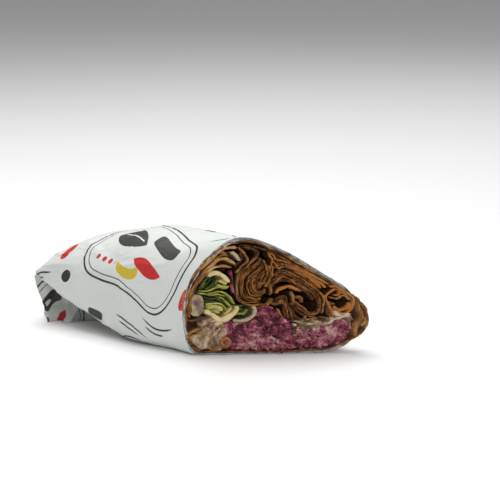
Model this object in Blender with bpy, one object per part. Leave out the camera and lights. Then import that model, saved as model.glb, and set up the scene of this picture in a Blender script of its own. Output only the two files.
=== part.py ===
"""Half of a rolled flatbread sandwich with shaved meat, cut on the slant and still in its paper.

Lengths are in millimetres until world() turns them into metres. +Z is up, and +X runs along the roll,
from the folded paper end to the cut end. The origin is on the flat underside, below the middle of the roll.
On the cut, u runs along its slant and v runs upwards. s runs back into the roll, away from the cut.
"""

import math
from dataclasses import dataclass

import bmesh
import bpy
import numpy as np
from mathutils import Vector, noise

MM = 0.001

# The roll and its slanted cut
CUT_ANGLE = math.radians(42)
CUT_X = 70.0
ROLL_LENGTH = 156.0
ROLL_HEIGHT = 66.0
SQUARE_FROM = 100.0
RING_POINTS = 44

# Walls and clearances
PAPER_WALL = 0.9
GAP = 0.3
END_ROUND = 3.0
END_SHARES = (0.97, 0.8)

# The filling runs back from the cut and narrows towards its own middle
FILL_DEPTH = 70.0
FILL_TAPER = 0.38
FILL_CENTRE = (0.0, 30.0)
CUTTER_REACH = 6.0
FACE_RELIEF = 1.1
RELIEF_GRAIN = 9.0

# The outline of the cut, anticlockwise from its lower left corner, as (u, v)
CUT_OUTLINE = (
    (-44, 0.4), (-30, 0), (-10, 0), (11, 0), (26, 0.8), (38, 4), (46, 8.5), (51, 14), (52, 20.5),
    (48.5, 28), (41, 35), (31, 41.5), (20, 48.5), (9, 55.5), (-3, 61.5), (-12, 65), (-20, 66),
    (-28, 63.5), (-37, 56.5), (-45, 47.5), (-50, 37), (-52, 25), (-51, 12), (-48.5, 4),
)


@dataclass(frozen=True)
class Station:
    """The section of the wrapped roll at a distance back from the cut."""

    back: float
    half_width: float
    low: float
    widest_at: float
    top: float
    low_square: float
    top_square: float
    ridge: float


STATIONS = (
    Station(30, 35.8, -0.8, 26, 62, 5.5, 2.15, -7),
    Station(58, 36, -0.8, 26, 63, 5.5, 2.2, -4),
    Station(80, 35, -0.4, 24, 62.5, 5.0, 2.2, -2),
    Station(98, 33.5, 3, 21, 58, 4.6, 2.3, 0),
    Station(116, 31.5, 9.5, 20.5, 52.5, 4.8, 2.4, 0),
    Station(136, 30, 17, 23, 46, 5.0, 2.8, 0),
    Station(150, 29, 22.5, 26, 40.5, 5.0, 3.2, 0),
    Station(ROLL_LENGTH, 28.5, 24, 27, 38, 5.0, 3.4, 0),
)

# The inner edge of the flatbread on the cut, round all the fillings, as (u, v)
BREAD_INNER = (
    (-46.2, 6), (-42, 3.2), (-34, 2.4), (-10, 2.4), (12, 2.6), (31, 4), (38.4, 6.6), (42.3, 12),
    (42.9, 18), (42.6, 29), (39.4, 34.4), (32.2, 38.9), (23, 43.6), (14, 49), (5, 54), (-5, 58.6),
    (-10, 61.4), (-16, 62.6), (-22, 61.4), (-25.8, 58.4), (-24.2, 54), (-25, 47.5), (-27.2, 46),
    (-31, 48.2), (-36, 47.6), (-39.8, 43.8), (-43.6, 37.4), (-47, 33.4), (-47.8, 28), (-46.6, 22),
    (-42.6, 19.4), (-41.6, 15.6), (-43.4, 12.8), (-46.4, 11),
)
# Fillings on the cut, as (u, v)
MEAT_LEFT = (
    (-22.5, 36), (-23.5, 43), (-24, 49), (-22.5, 55), (-22, 60), (-15, 62), (-8, 60.5), (-4.5, 57.5),
    (-4.5, 50), (-3.5, 42), (-3, 34), (-5, 29.5), (-9, 27.5), (-15, 27.5), (-20, 30.5),
)
MEAT_RIGHT = (
    (-5, 58), (5, 53.5), (14, 48.5), (23, 43), (32, 38.5), (39, 34), (42, 29), (41.5, 24), (38, 21.8),
    (33, 21), (27, 18.5), (20, 18), (12, 18.5), (6, 19.5), (2.5, 23.5), (-2, 27), (-6, 28), (-5, 42),
    (-6, 50),
)
LETTUCE_UPPER = (
    (-43, 36.8), (-39.5, 42), (-36, 45), (-30, 45), (-26, 41.5), (-24, 36.5), (-30, 35), (-37, 35.5),
)
LETTUCE_LOWER = (
    (-42.5, 34.5), (-33, 35.5), (-25, 35), (-24, 31), (-20.5, 27), (-25, 20.5), (-29.5, 18),
    (-34.5, 20.5), (-40, 25.5), (-40.5, 30),
)
LETTUCE_TIP = ((-22, 22), (-16, 22), (-14.5, 25), (-15.5, 27), (-20, 27.5))
LETTUCE_SCRAP = ((9.5, 17), (16, 17.5), (17.5, 14), (14, 12.3), (10, 13))
RED_CABBAGE = (
    (-29.5, 18), (-24, 17.5), (-17, 18), (-11, 21), (-9.5, 25), (-5, 28), (-1.5, 26), (2.5, 22),
    (8, 18), (14, 16), (22, 15.5), (30, 16.5), (40.5, 18), (41.8, 12), (38, 7), (31, 4.4), (12, 3),
    (-20, 2.6), (-26.5, 3), (-27.5, 9),
)
YOGHURT_LEFT = (
    (-40.5, 18.5), (-34.5, 21), (-28, 18.5), (-25.5, 9), (-25.5, 3.2), (-36, 2.8), (-42.5, 3.6),
    (-45.5, 6.5), (-45.7, 10.5), (-42.5, 12), (-41, 14.5),
)
YOGHURT_RIGHT = (
    (13, 19), (21, 19), (29, 19.5), (32.5, 25), (35, 22.5), (41.8, 23), (42.4, 17), (34, 16.5),
    (26, 15), (17, 14),
)
ONION_LEFT = (
    (-46.5, 33), (-42, 34.5), (-39.5, 28), (-39.5, 22.5), (-42, 20.5), (-46.3, 22.5), (-47.3, 28),
)
LETTUCE_RIB_LINE = ((-38.5, 43), (-35.5, 46.3), (-31, 46.8), (-27.5, 43.8), (-25.5, 40.5))
ONION_RING_LINE = ((-24, 19), (-18.2, 19.3), (-14, 21), (-12, 24), (-13.3, 27.2))
ONION_SLIVER_LINE = ((-25, 58), (-22.3, 56.3), (-20, 52.8))
RIB_WALL = 2.4
RING_WALL = 3.0
SLIVER_WALL = 2.2
PEPPER_CENTRE = (-28.4, 7.3)
PEPPER_RADIUS = 3.1
PEPPER_POINTS = 16
PEPPER_HOLLOW = 1.3
PEPPER_HOLLOW_DEPTH = 3.0
HOLLOW_POINTS = 8
SLIVER_POINTS = 8
RIB_POINTS = 14
FEW_POINTS = 20
SOME_POINTS = 30
MANY_POINTS = 44
EDGE_POINTS = 90
CUT_POINTS = 240
CURVE_STEPS = 12


@dataclass(frozen=True)
class Family:
    """Layers side by side: the first and last of them as lines on the cut, and how many there are."""

    first: tuple
    last: tuple
    layers: int
    width: float = 0.8
    depth: float = 7.0


# Folded slices of meat
LEFT_NEST = Family(
    ((-11, 58.5), (-15, 51.5), (-20.5, 45), (-21.8, 37.5), (-19.5, 32), (-14, 29), (-8, 30), (-4.8, 34)),
    ((-6, 52), (-8.5, 47), (-11, 42), (-11.5, 38.5), (-10.5, 36.5), (-8.5, 37), (-7.5, 39.5), (-7, 42)),
    7,
)
RIGHT_BAND = Family(
    ((-2.5, 55), (6, 51), (15, 46.2), (24, 40.8), (31, 36.8)),
    ((-3, 50), (-1.5, 44.5), (2, 47.5), (8, 47), (14.5, 43), (22, 38), (26.5, 32.5)),
    4,
)
RIGHT_NEST = Family(
    ((-1.8, 42), (3, 45), (9, 44), (16, 39.5), (23, 33), (25.8, 28), (24.5, 23)),
    ((-1.6, 36.5), (3, 39.2), (7.5, 39), (12.5, 36.5), (19, 33), (23.5, 28.5), (22, 24.5)),
    4,
)
UNDER_HOLE = Family(
    ((7.5, 31.5), (12, 27.5), (17, 25), (22, 24.2)),
    ((6.5, 21.3), (13, 20), (20, 19.6), (27, 20.2)),
    5,
)
LEFT_OF_HOLE = Family(
    ((-0.5, 31.5), (2, 28.5), (4, 24.5), (6, 21.5)),
    ((8.5, 34), (7.5, 29.5), (9.5, 25.5), (12, 22.5)),
    4,
)
# Layers of the flatbread
BREAD_SHOULDER = Family(
    ((-48.3, 28), (-46.8, 37.5), (-42.3, 46), (-35.2, 53.4), (-28.8, 58.8), (-22.8, 62)),
    ((-44.5, 36.5), (-40.5, 43.5), (-36.5, 48), (-31, 49.2), (-26, 48.6)),
    5, 0.9, 9.0,
)
BREAD_RIGHT = Family(
    ((31, 38.8), (39.6, 33.3), (45.6, 27), (48.4, 20.5), (47, 14), (42.5, 9.5)),
    ((41.5, 34), (44, 28), (44.2, 22), (43.5, 15), (41, 9)),
    4, 0.7, 6.0,
)
BREAD_TOP = Family(
    ((-14, 64), (-3, 60.2), (9, 54.2), (20, 47.4), (31, 40.6)),
    ((-12, 63), (-2, 58.9), (9, 53), (19, 46.5), (29, 40.5)),
    2, 0.5, 5.0,
)
# Hollows that open on the cut: outline, depth
MEAT_HOLE = (
    (8.7, 35.2), (12.5, 35.4), (16.2, 34.6), (20, 32.2), (22.6, 28.8), (21.8, 26), (18.5, 27),
    (14.8, 29.2), (11, 32.4),
)
TOP_HOLE = ((-19, 59), (-14.5, 58.6), (-13, 56), (-15.5, 52.8), (-16.8, 53.5), (-17.5, 56.5))
ORANGE_POCKET = (
    (27, 33), (34.5, 32.7), (40, 33), (40.8, 31), (38.5, 28), (35.5, 26.4), (32.5, 28), (29, 30.2),
)
BREAD_POCKET = ((-47.4, 18.6), (-45, 19.6), (-41.5, 19.2), (-41.8, 15.6), (-44.5, 14.2), (-47.2, 13.4))
SHOULDER_POCKET = ((-33, 57), (-28, 57.2), (-27, 55.6), (-31, 54.8), (-34.5, 54))
LEAF_FOLD_UPPER = ((-40.5, 37.5), (-36, 43), (-33, 43.5), (-34.5, 38))
LEAF_FOLD_LOWER = ((-38.5, 32.8), (-31, 33), (-27, 29.8), (-31, 29.2), (-37.5, 30.4))
DEEP = 18.0
SHALLOW = 8.0
# How a hollow narrows: share of its depth, share of its outline
HOLLOW_PROFILE = ((0.0, 1.0), (0.6, 0.8), (1.0, 0.3))

# The grooves between layers
GROOVE_END = 0.3
GROOVE_UNEVENNESS = 0.3
GROOVE_GRAIN = 3.7

# The paper's end, folded down and tucked under the roll: its outline on the floor and under the roll,
# as (back from the middle of the cut, across)
TUCK_FLOOR = (
    (-149.5, -26.5), (-146, -18.5), (-139.5, -21.5), (-136, -13), (-131, -7.5), (-121, -6), (-112, 3),
    (-113, 15), (-124, 16), (-132, 22), (-138, 17.5), (-146, 24.5), (-151, 15), (-147, 5), (-151.5, -6),
    (-148, -14),
)
TUCK_UPPER = (
    (-157.5, -29), (-149, -26.5), (-140, -24), (-132, -19), (-124, -15), (-116, -11), (-110, 2),
    (-112, 16), (-122, 20), (-132, 23), (-142, 25), (-156.5, 28.5), (-157.5, 16), (-157, 6), (-158, -6),
    (-157.5, -16),
)
TUCK_TOP = 28.0
TUCK_LEVELS = 5
TUCK_LEAN = 1.3

# Creases of the paper
CREASE_HEIGHT = 0.9
CREASE_GRAIN = 16.0
CREASE_FROM = 20.0
CREASE_STRETCH = 1.4

COLOURS = {
    "paper": ((0.80, 0.82, 0.80), 0.6),
    "bread": ((0.45, 0.26, 0.11), 0.7),
    "meat": ((0.27, 0.13, 0.055), 0.5),
    "lettuce": ((0.30, 0.36, 0.09), 0.45),
    "onion": ((0.62, 0.55, 0.32), 0.4),
    "cabbage": ((0.32, 0.07, 0.15), 0.45),
    "yoghurt": ((0.62, 0.45, 0.40), 0.35),
    "pepper": ((0.48, 0.17, 0.03), 0.4),
}


def world(x, y, z):
    """A point in metres."""
    return Vector((x, y, z)) * MM


def between(a, b, c, d, t):
    """The place at this share of the way from b to c on a smooth curve through all four."""
    bend = (2 * a - 5 * b + 4 * c - d) * t**2 + (3 * b - a - 3 * c + d) * t**3
    return 0.5 * (2 * b + (c - a) * t + bend)


def curve(points, count, closed):
    """Evenly spaced points on a smooth curve through the given ones."""
    pts = np.array(points, float)
    n = len(pts)
    spans = n if closed else n - 1
    dense = []
    for i in range(spans):
        if closed:
            a, b, c, d = (pts[(i + k) % n] for k in (-1, 0, 1, 2))
        else:
            b, c = pts[i], pts[i + 1]
            a = pts[i - 1] if i else 2 * b - c
            d = pts[i + 2] if i + 2 < n else 2 * c - b
        for t in np.linspace(0, 1, CURVE_STEPS, endpoint=False):
            dense.append(between(a, b, c, d, t))
    dense.append(pts[0] if closed else pts[-1])
    dense = np.array(dense)
    along = np.concatenate([[0], np.cumsum(np.linalg.norm(np.diff(dense, axis=0), axis=1))])
    at = np.linspace(0, along[-1], count, endpoint=not closed)
    return np.stack([np.interp(at, along, dense[:, k]) for k in range(2)], 1)


def normals(line, closed):
    """Unit normals, to the right of the way the line runs."""
    if closed:
        way = np.roll(line, -1, 0) - np.roll(line, 1, 0)
    else:
        way = np.gradient(line, axis=0)
    way /= np.linalg.norm(way, axis=1)[:, None]
    return np.stack([way[:, 1], -way[:, 0]], 1)


def outline(points, count):
    """A closed outline, always anticlockwise."""
    ring = curve(points, count, True)
    area = np.sum(ring[:, 0] * np.roll(ring[:, 1], -1) - np.roll(ring[:, 0], -1) * ring[:, 1])
    return ring if area > 0 else ring[::-1]


def widened(ring, by):
    """The outline moved outwards."""
    return ring + by * normals(ring, True)


def shrunk(ring, by):
    """The outline brought in by this much on each side."""
    low, high = ring.min(0), ring.max(0)
    middle, half = (low + high) / 2, (high - low) / 2
    return middle + (ring - middle) * (1 - by / half)


def strip(points, wall, count, ends=1.0):
    """The outline of a band along a line. Its ends narrow to this share of the wall."""
    line = curve(points, count, False)
    t = np.linspace(0, 1, count)
    half = 0.5 * wall * (ends + (1 - ends) * np.sqrt(np.sin(np.pi * np.clip(t, 0.02, 0.98))))
    side = normals(line, False) * half[:, None]
    return np.concatenate([line + side, (line - side)[::-1]])


def circle(centre, radius, count):
    """A round outline."""
    turn = np.linspace(0, 2 * math.pi, count, endpoint=False)
    return np.array(centre) + radius * np.stack([np.cos(turn), np.sin(turn)], 1)


def fill_point(u, v, s):
    """A point of the filling, s behind the cut."""
    keep = 1 - FILL_TAPER * s / FILL_DEPTH
    u = FILL_CENTRE[0] + keep * (u - FILL_CENTRE[0])
    v = FILL_CENTRE[1] + keep * (v - FILL_CENTRE[1])
    return world(CUT_X - s + u * math.cos(CUT_ANGLE), u * math.sin(CUT_ANGLE), v)


def new_object(name, bm, role=None):
    """An object from a bmesh, with its faces turned outwards."""
    bmesh.ops.recalc_face_normals(bm, faces=bm.faces)
    mesh = bpy.data.meshes.new(name)
    bm.to_mesh(mesh)
    bm.free()
    obj = bpy.data.objects.new(name, mesh)
    bpy.context.scene.collection.objects.link(obj)
    if role:
        mesh.materials.append(material(role))
    return obj


def material(role):
    """The plain finish of one kind of food or of the paper."""
    found = bpy.data.materials.get(role)
    if found:
        return found
    colour, roughness = COLOURS[role]
    made = bpy.data.materials.new(role)
    made.use_nodes = True
    shader = made.node_tree.nodes["Principled BSDF"]
    shader.inputs["Base Color"].default_value = (*colour, 1)
    shader.inputs["Roughness"].default_value = roughness
    shader.inputs["Metallic"].default_value = 0
    return made


def stack(name, rings, role=None):
    """A solid from rings of points, one after another, closed with a face at each end."""
    bm = bmesh.new()
    levels = [[bm.verts.new(p) for p in ring] for ring in rings]
    count = len(levels[0])
    for near, far in zip(levels, levels[1:]):
        for j in range(count):
            k = (j + 1) % count
            bm.faces.new((near[j], near[k], far[k]))
            bm.faces.new((near[j], far[k], far[j]))
    bm.faces.new(levels[0])
    bm.faces.new(levels[-1])
    return new_object(name, bm, role)


def prism(name, ring, front, back, role=None):
    """A solid that runs back through the filling with this outline."""
    return stack(name, [[fill_point(u, v, s) for u, v in ring] for s in (front, back)], role)


def combine(target, others, operation):
    """One Boolean on all the others at once, applied. The others are then removed."""
    group = bpy.data.collections.new("others")
    bpy.context.scene.collection.children.link(group)
    for other in others:
        group.objects.link(other)
    boolean = target.modifiers.new("boolean", "BOOLEAN")
    boolean.operation = operation
    boolean.operand_type = "COLLECTION"
    boolean.solver = "EXACT"
    boolean.collection = group
    graph = bpy.context.evaluated_depsgraph_get()
    made = bpy.data.meshes.new_from_object(target.evaluated_get(graph))
    target.modifiers.clear()
    target.data = made
    for other in others:
        bpy.data.objects.remove(other)
    bpy.data.collections.remove(group)
    return target


def grooves(family):
    """Narrow cutters between the layers of a family."""
    made = []
    count = max(len(family.first), len(family.last)) * 3
    first, last = curve(family.first, count, False), curve(family.last, count, False)
    for k in range(family.layers - 1):
        share = (k + 0.5) / (family.layers - 1)
        line = first * (1 - share) + last * share
        uneven = 1 + GROOVE_UNEVENNESS * noise.noise(Vector((k * GROOVE_GRAIN, family.depth, 0.5)))
        line = line[: count - 1 - k % 2]
        ring = strip(line, family.width * uneven, len(line), GROOVE_END)
        made.append(prism("groove", ring, -CUTTER_REACH, family.depth * uneven))
    return made


def hollow(points, depth, count=FEW_POINTS):
    """A cutter for a hollow that narrows as it goes in."""
    ring = outline(points, count)
    middle = ring.mean(0)
    levels = [(-CUTTER_REACH, 1.0)] + [(share_in * depth, width) for share_in, width in HOLLOW_PROFILE]
    rings = [[fill_point(*(middle + width * (p - middle)), s) for p in ring] for s, width in levels]
    return stack("hollow", rings)


def keep_largest(obj):
    """Drops the loose scraps that a cut leaves beside the largest piece."""
    bm = bmesh.new()
    bm.from_mesh(obj.data)
    waiting, pieces = set(bm.faces), []
    while waiting:
        found, edge = [], [waiting.pop()]
        while edge:
            face = edge.pop()
            found.append(face)
            for other in {f for v in face.verts for f in v.link_faces} & waiting:
                waiting.discard(other)
                edge.append(other)
        pieces.append(found)
    largest = max(pieces, key=lambda faces: sum(face.calc_area() for face in faces))
    scraps = [face for faces in pieces if faces is not largest for face in faces]
    bmesh.ops.delete(bm, geom=scraps, context="FACES")
    bm.to_mesh(obj.data)
    bm.free()


def roughen(obj):
    """Moves the points of the cut face in and out a little, as food that was never cut quite flat."""
    bm = bmesh.new()
    bm.from_mesh(obj.data)
    bmesh.ops.triangulate(bm, faces=bm.faces)
    for vert in bm.verts:
        p = vert.co / MM
        behind = CUT_X + p.y / math.tan(CUT_ANGLE) - p.x
        if behind < 0.05:
            vert.co.x += MM * FACE_RELIEF * noise.noise(p / RELIEF_GRAIN)
    bm.to_mesh(obj.data)
    bm.free()


def cut_section():
    """The outline of the cut seen along the roll, as (y, z), at the angles that the stations use."""
    dense = outline(CUT_OUTLINE, CUT_POINTS) * (math.sin(CUT_ANGLE), 1)
    dense[:, 1] = np.maximum(dense[:, 1], 0)
    middle = STATIONS[0].widest_at
    across = dense[:, 0] / STATIONS[0].half_width
    up = (dense[:, 1] - middle) / np.where(dense[:, 1] > middle, ROLL_HEIGHT - middle, middle)
    turn = np.unwrap(np.arctan2(up, across))
    wanted = np.linspace(0, 2 * math.pi, RING_POINTS, endpoint=False)
    wanted = np.where(wanted < turn[0], wanted + 2 * math.pi, wanted)
    wanted = np.where(wanted > turn[0] + 2 * math.pi, wanted - 2 * math.pi, wanted)
    turn = np.append(turn, turn[0] + 2 * math.pi)
    dense = np.vstack([dense, dense[:1]])
    return np.stack([np.interp(wanted, turn, dense[:, k]) for k in range(2)], 1)


def station_section(st):
    """The outline of the roll at a station, as (y, z): an arch with a flatter underside."""
    turn = np.linspace(0, 2 * math.pi, RING_POINTS, endpoint=False)
    cos, sin = np.cos(turn), np.sin(turn)
    square = np.where(sin > 0, st.top_square, st.low_square)
    rise = np.where(sin > 0, st.top - st.widest_at, st.widest_at - st.low)
    y = st.half_width * np.sign(cos) * np.abs(cos) ** (2 / square)
    z = st.widest_at + rise * np.sign(sin) * np.abs(sin) ** (2 / square)
    y += st.ridge * np.clip((z - st.widest_at) / (st.top - st.widest_at), 0, 1) ** 2
    return np.stack([y, np.maximum(z, 0)], 1)


SECTIONS = [(0.0, cut_section())] + [(st.back, station_section(st)) for st in STATIONS]


def section(s):
    """The outline of the wrapped roll, s behind the cut, on a smooth curve through the stations."""
    backs = [back for back, _ in SECTIONS]
    i = int(np.clip(np.searchsorted(backs, s, "right") - 1, 0, len(backs) - 2))
    t = (s - backs[i]) / (backs[i + 1] - backs[i])
    b, c = SECTIONS[i][1], SECTIONS[i + 1][1]
    a = SECTIONS[i - 1][1] if i else b
    d = SECTIONS[i + 2][1] if i + 2 < len(SECTIONS) else c
    ring = between(a, b, c, d, t)
    ring[:, 1] = np.maximum(ring[:, 1], 0)
    return ring


def slant(s):
    """How far a section leans along the roll for each step across it."""
    return (1 - min(max(s, 0), SQUARE_FROM) / SQUARE_FROM) / math.tan(CUT_ANGLE)


def crease(s, y, z):
    """How far the paper stands out in creases. They grow towards the folded end."""
    share = min(max((s - CREASE_FROM) / ROLL_LENGTH, 0), 1)
    at = Vector((s, CREASE_STRETCH * y, CREASE_STRETCH * z)) / CREASE_GRAIN
    ridge = 1 - abs(noise.noise(at)) * 2
    return CREASE_HEIGHT * share * max(ridge, 0) ** 2


def roll(name, inset, backs, role=None, creased=False):
    """The roll as a closed solid, this far inside its paper, with a rounded end."""
    end = ROLL_LENGTH - inset
    rings = []
    ends = zip((end, end + 0.5 * END_ROUND), END_SHARES)
    for s, share in [*((s, 1.0) for s in backs), *ends]:
        ring = section(min(max(s, 0), ROLL_LENGTH))
        ring = shrunk(ring, inset)
        middle = ring.mean(0)
        ring = middle + share * (ring - middle)
        points = []
        for (y, z), (out_y, out_z) in zip(ring, normals(ring, True)):
            if creased and z > 1:
                out = crease(s, y, z)
                y, z = y + out * out_y, z + out * out_z
            points.append(world(CUT_X - s + slant(s) * y, y, z))
        rings.append(points)
    return stack(name, rings, role)


def tuck():
    """The end of the paper, folded down over the end of the roll and tucked under it."""
    per_side = MANY_POINTS // len(TUCK_FLOOR) + 1
    floor, upper = (curve(points, per_side * len(TUCK_FLOOR), True) for points in (TUCK_FLOOR, TUCK_UPPER))
    rings = []
    for level in range(TUCK_LEVELS):
        share = level / (TUCK_LEVELS - 1)
        ring = floor + (upper - floor) * share**TUCK_LEAN
        rings.append([world(CUT_X + x, y, TUCK_TOP * share) for x, y in ring])
    return stack("tuck", rings)


def paper_wrap():
    """The sheet of paper round the roll, open at the cut, with its end folded under."""
    outer = roll("paper_wrap", 0, (0, 12, 26, 42, 58, 74, 86, 96, 106, 116, 126, 136, 146), "paper", True)
    combine(outer, [tuck()], "UNION")
    inner = roll("inside", PAPER_WALL, (-CUTTER_REACH, 0, 20, 42, 62, 80, 96, 116, 136))
    combine(outer, [inner], "DIFFERENCE")
    keep_largest(outer)
    return outer


def flatbread():
    """The rolled flatbread, with the space for its fillings, its layers and its pockets."""
    bread = roll("flatbread", PAPER_WALL + GAP, (0, 20, 42, 62, 80, 96, 116, 136), "bread")
    cutters = [prism("space", outline(BREAD_INNER, EDGE_POINTS), -CUTTER_REACH, FILL_DEPTH + GAP)]
    cutters += grooves(BREAD_SHOULDER) + grooves(BREAD_RIGHT) + grooves(BREAD_TOP)
    cutters += [hollow(BREAD_POCKET, SHALLOW), hollow(SHOULDER_POCKET, SHALLOW)]
    combine(bread, cutters, "DIFFERENCE")
    keep_largest(bread)
    roughen(bread)
    return bread


def fillings():
    """Every filling. The first keeps its whole outline, and each later one gives way to those before it."""
    hole_cutters = {
        "meat_left": lambda: grooves(LEFT_NEST) + [hollow(TOP_HOLE, DEEP)],
        "meat_right": lambda: [
            *grooves(RIGHT_BAND), *grooves(RIGHT_NEST), *grooves(UNDER_HOLE), *grooves(LEFT_OF_HOLE),
            hollow(MEAT_HOLE, DEEP), hollow(ORANGE_POCKET, SHALLOW),
        ],
        "lettuce_upper": lambda: [hollow(LEAF_FOLD_UPPER, SHALLOW)],
        "lettuce_lower": lambda: [hollow(LEAF_FOLD_LOWER, SHALLOW)],
        "pepper_slice": lambda: [
            hollow(circle(PEPPER_CENTRE, PEPPER_HOLLOW, HOLLOW_POINTS), PEPPER_HOLLOW_DEPTH, HOLLOW_POINTS),
        ],
    }
    pieces = (
        ("onion_ring", "onion", strip(ONION_RING_LINE, RING_WALL, FEW_POINTS)),
        ("onion_sliver", "onion", strip(ONION_SLIVER_LINE, SLIVER_WALL, SLIVER_POINTS)),
        ("lettuce_rib", "lettuce", strip(LETTUCE_RIB_LINE, RIB_WALL, RIB_POINTS)),
        ("pepper_slice", "pepper", circle(PEPPER_CENTRE, PEPPER_RADIUS, PEPPER_POINTS)),
        ("lettuce_tip", "lettuce", outline(LETTUCE_TIP, FEW_POINTS)),
        ("lettuce_scrap", "lettuce", outline(LETTUCE_SCRAP, FEW_POINTS)),
        ("meat_left", "meat", outline(MEAT_LEFT, MANY_POINTS)),
        ("meat_right", "meat", outline(MEAT_RIGHT, MANY_POINTS)),
        ("lettuce_lower", "lettuce", outline(LETTUCE_LOWER, SOME_POINTS)),
        ("lettuce_upper", "lettuce", outline(LETTUCE_UPPER, FEW_POINTS)),
        ("onion_left", "onion", outline(ONION_LEFT, FEW_POINTS)),
        ("yoghurt_right", "yoghurt", outline(YOGHURT_RIGHT, SOME_POINTS)),
        ("yoghurt_left", "yoghurt", outline(YOGHURT_LEFT, SOME_POINTS)),
        ("red_cabbage", "cabbage", outline(RED_CABBAGE, MANY_POINTS)),
    )
    taken = []
    inside = widened(outline(BREAD_INNER, EDGE_POINTS), -GAP)
    for name, role, ring in pieces:
        piece = prism(name, ring, 0, FILL_DEPTH, role)
        combine(piece, [prism("inside", inside, -CUTTER_REACH, FILL_DEPTH + CUTTER_REACH)], "INTERSECT")
        if taken:
            others = [prism("taken", wide, -CUTTER_REACH, FILL_DEPTH + CUTTER_REACH) for wide in taken]
            combine(piece, others, "DIFFERENCE")
        if name in hole_cutters:
            combine(piece, hole_cutters[name](), "DIFFERENCE")
        keep_largest(piece)
        roughen(piece)
        taken.append(widened(ring, GAP))


def main():
    """Clears the scene and builds the sandwich."""
    for obj in list(bpy.data.objects):
        bpy.data.objects.remove(obj)
    fillings()
    flatbread()
    paper_wrap()


main()
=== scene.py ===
"""The looks of half a rolled flatbread sandwich with shaved meat, cut on the slant, in printed paper.

Lengths are in millimetres until a mesh is made, and then in metres. +X runs along the roll to its cut end, and
+Z is up. On the cut, u runs along its slant and v upwards. s runs back into the roll, away from the cut.
"""

import logging
import math
from dataclasses import dataclass
from enum import Enum
from itertools import product
from typing import Callable, Optional, Sequence, Union

import bmesh
import bpy
import numpy as np
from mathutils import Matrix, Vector


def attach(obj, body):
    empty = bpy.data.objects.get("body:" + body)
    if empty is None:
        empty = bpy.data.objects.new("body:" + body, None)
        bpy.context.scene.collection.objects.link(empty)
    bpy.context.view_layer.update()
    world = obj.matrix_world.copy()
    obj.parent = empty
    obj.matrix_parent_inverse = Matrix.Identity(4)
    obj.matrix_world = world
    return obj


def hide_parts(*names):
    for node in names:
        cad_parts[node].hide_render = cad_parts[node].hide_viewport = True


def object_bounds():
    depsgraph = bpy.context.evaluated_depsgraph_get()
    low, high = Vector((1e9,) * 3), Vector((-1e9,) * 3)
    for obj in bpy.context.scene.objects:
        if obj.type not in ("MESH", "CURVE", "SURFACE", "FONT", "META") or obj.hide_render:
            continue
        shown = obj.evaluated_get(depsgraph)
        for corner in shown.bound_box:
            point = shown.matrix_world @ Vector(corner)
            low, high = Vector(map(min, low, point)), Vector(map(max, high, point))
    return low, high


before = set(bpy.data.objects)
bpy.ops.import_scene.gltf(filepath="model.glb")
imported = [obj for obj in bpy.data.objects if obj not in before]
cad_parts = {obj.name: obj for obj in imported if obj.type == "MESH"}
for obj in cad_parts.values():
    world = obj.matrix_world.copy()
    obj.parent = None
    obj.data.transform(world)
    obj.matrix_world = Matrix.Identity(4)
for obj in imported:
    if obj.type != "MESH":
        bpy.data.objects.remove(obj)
CAD_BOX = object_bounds()

log = logging.getLogger("sandwich")

MM = 0.001
BODY = "root"
SEED = 11
SEED_STEP = 37

HASH_AXES = (73856093, 19349663, 83492791)
HASH_SEED = 2654435
HASH_MIX = 1274126177
HASH_START = 97
FIELD_APART = 31.7

Pair = tuple[float, float]
Triple = tuple[float, float, float]
Line = Sequence[Pair]
Points = np.ndarray
Tone = Callable[[Points, Points], Points]
Octaves = tuple[tuple[float, float, int], ...]


def smooth_noise(points: Points, size: float, seed: int = 0) -> Points:
    """Gives smooth values from -1 to 1 that are the same on each run.

    Args:
        points: An array whose last axis holds three coordinates.
        size: The distance over which the values change.
        seed: Chooses another field of values.

    Returns:
        One value for each point.
    """
    scaled = np.asarray(points, float) / size + FIELD_APART * (seed + 1)
    cell = np.floor(scaled).astype(np.int64)
    part = scaled - cell
    fade = part**3 * (part * (part * 6 - 15) + 10)
    total = np.zeros(scaled.shape[:-1])
    for corner in product((0, 1), repeat=3):
        at = cell + np.array(corner)
        x, y, z = (at[..., k] * number for k, number in enumerate(HASH_AXES))
        mixed = x ^ y ^ z ^ (seed * HASH_SEED + HASH_START)
        mixed = (mixed ^ (mixed >> 13)) * HASH_MIX & 0x7FFFFFFF
        value = ((mixed ^ (mixed >> 16)) & 0xFFFF) / (0xFFFF / 2) - 1
        weight = np.prod(np.where(np.array(corner, bool), fade, 1 - fade), axis=-1)
        total += value * weight
    return total


def uneven(points: Points, octaves: Octaves, seed: int) -> Points:
    """Adds up noises of several sizes.

    Args:
        points: An array whose last axis holds two or three coordinates.
        octaves: The strength and size of each noise, and what is added to its seed.
        seed: Chooses another set of fields.

    Returns:
        One value for each point.
    """
    noise = smooth_noise if points.shape[-1] == 3 else flat_noise
    return sum(strength * noise(points, size, seed + more) for strength, size, more in octaves)


@dataclass(frozen=True)
class Folds:
    """Ridged noise, for the folds of a sheet."""

    size: float
    seed: int
    sharp: float
    stretch: Triple = (1.0, 1.0, 1.0)
    least: float = 0.0

    def at(self, points: Points) -> Points:
        """One along the top of each fold, and down to the least value away from it."""
        noise = smooth_noise(points * self.stretch, self.size, self.seed)
        return np.clip(1 - self.sharp * np.abs(noise), self.least, 1)


def ramp(value: Points, start: float, end: float) -> Points:
    """Nought at the start, one at the end, and even between them."""
    return np.clip((value - start) / (end - start), 0, 1)


def flat_noise(points: Points, size: float, seed: int = 0) -> Points:
    """The same as smooth_noise, for points of two coordinates."""
    points = np.asarray(points, float)
    return smooth_noise(np.concatenate([points, np.zeros(points.shape[:-1] + (1,))], -1), size, seed)


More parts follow.
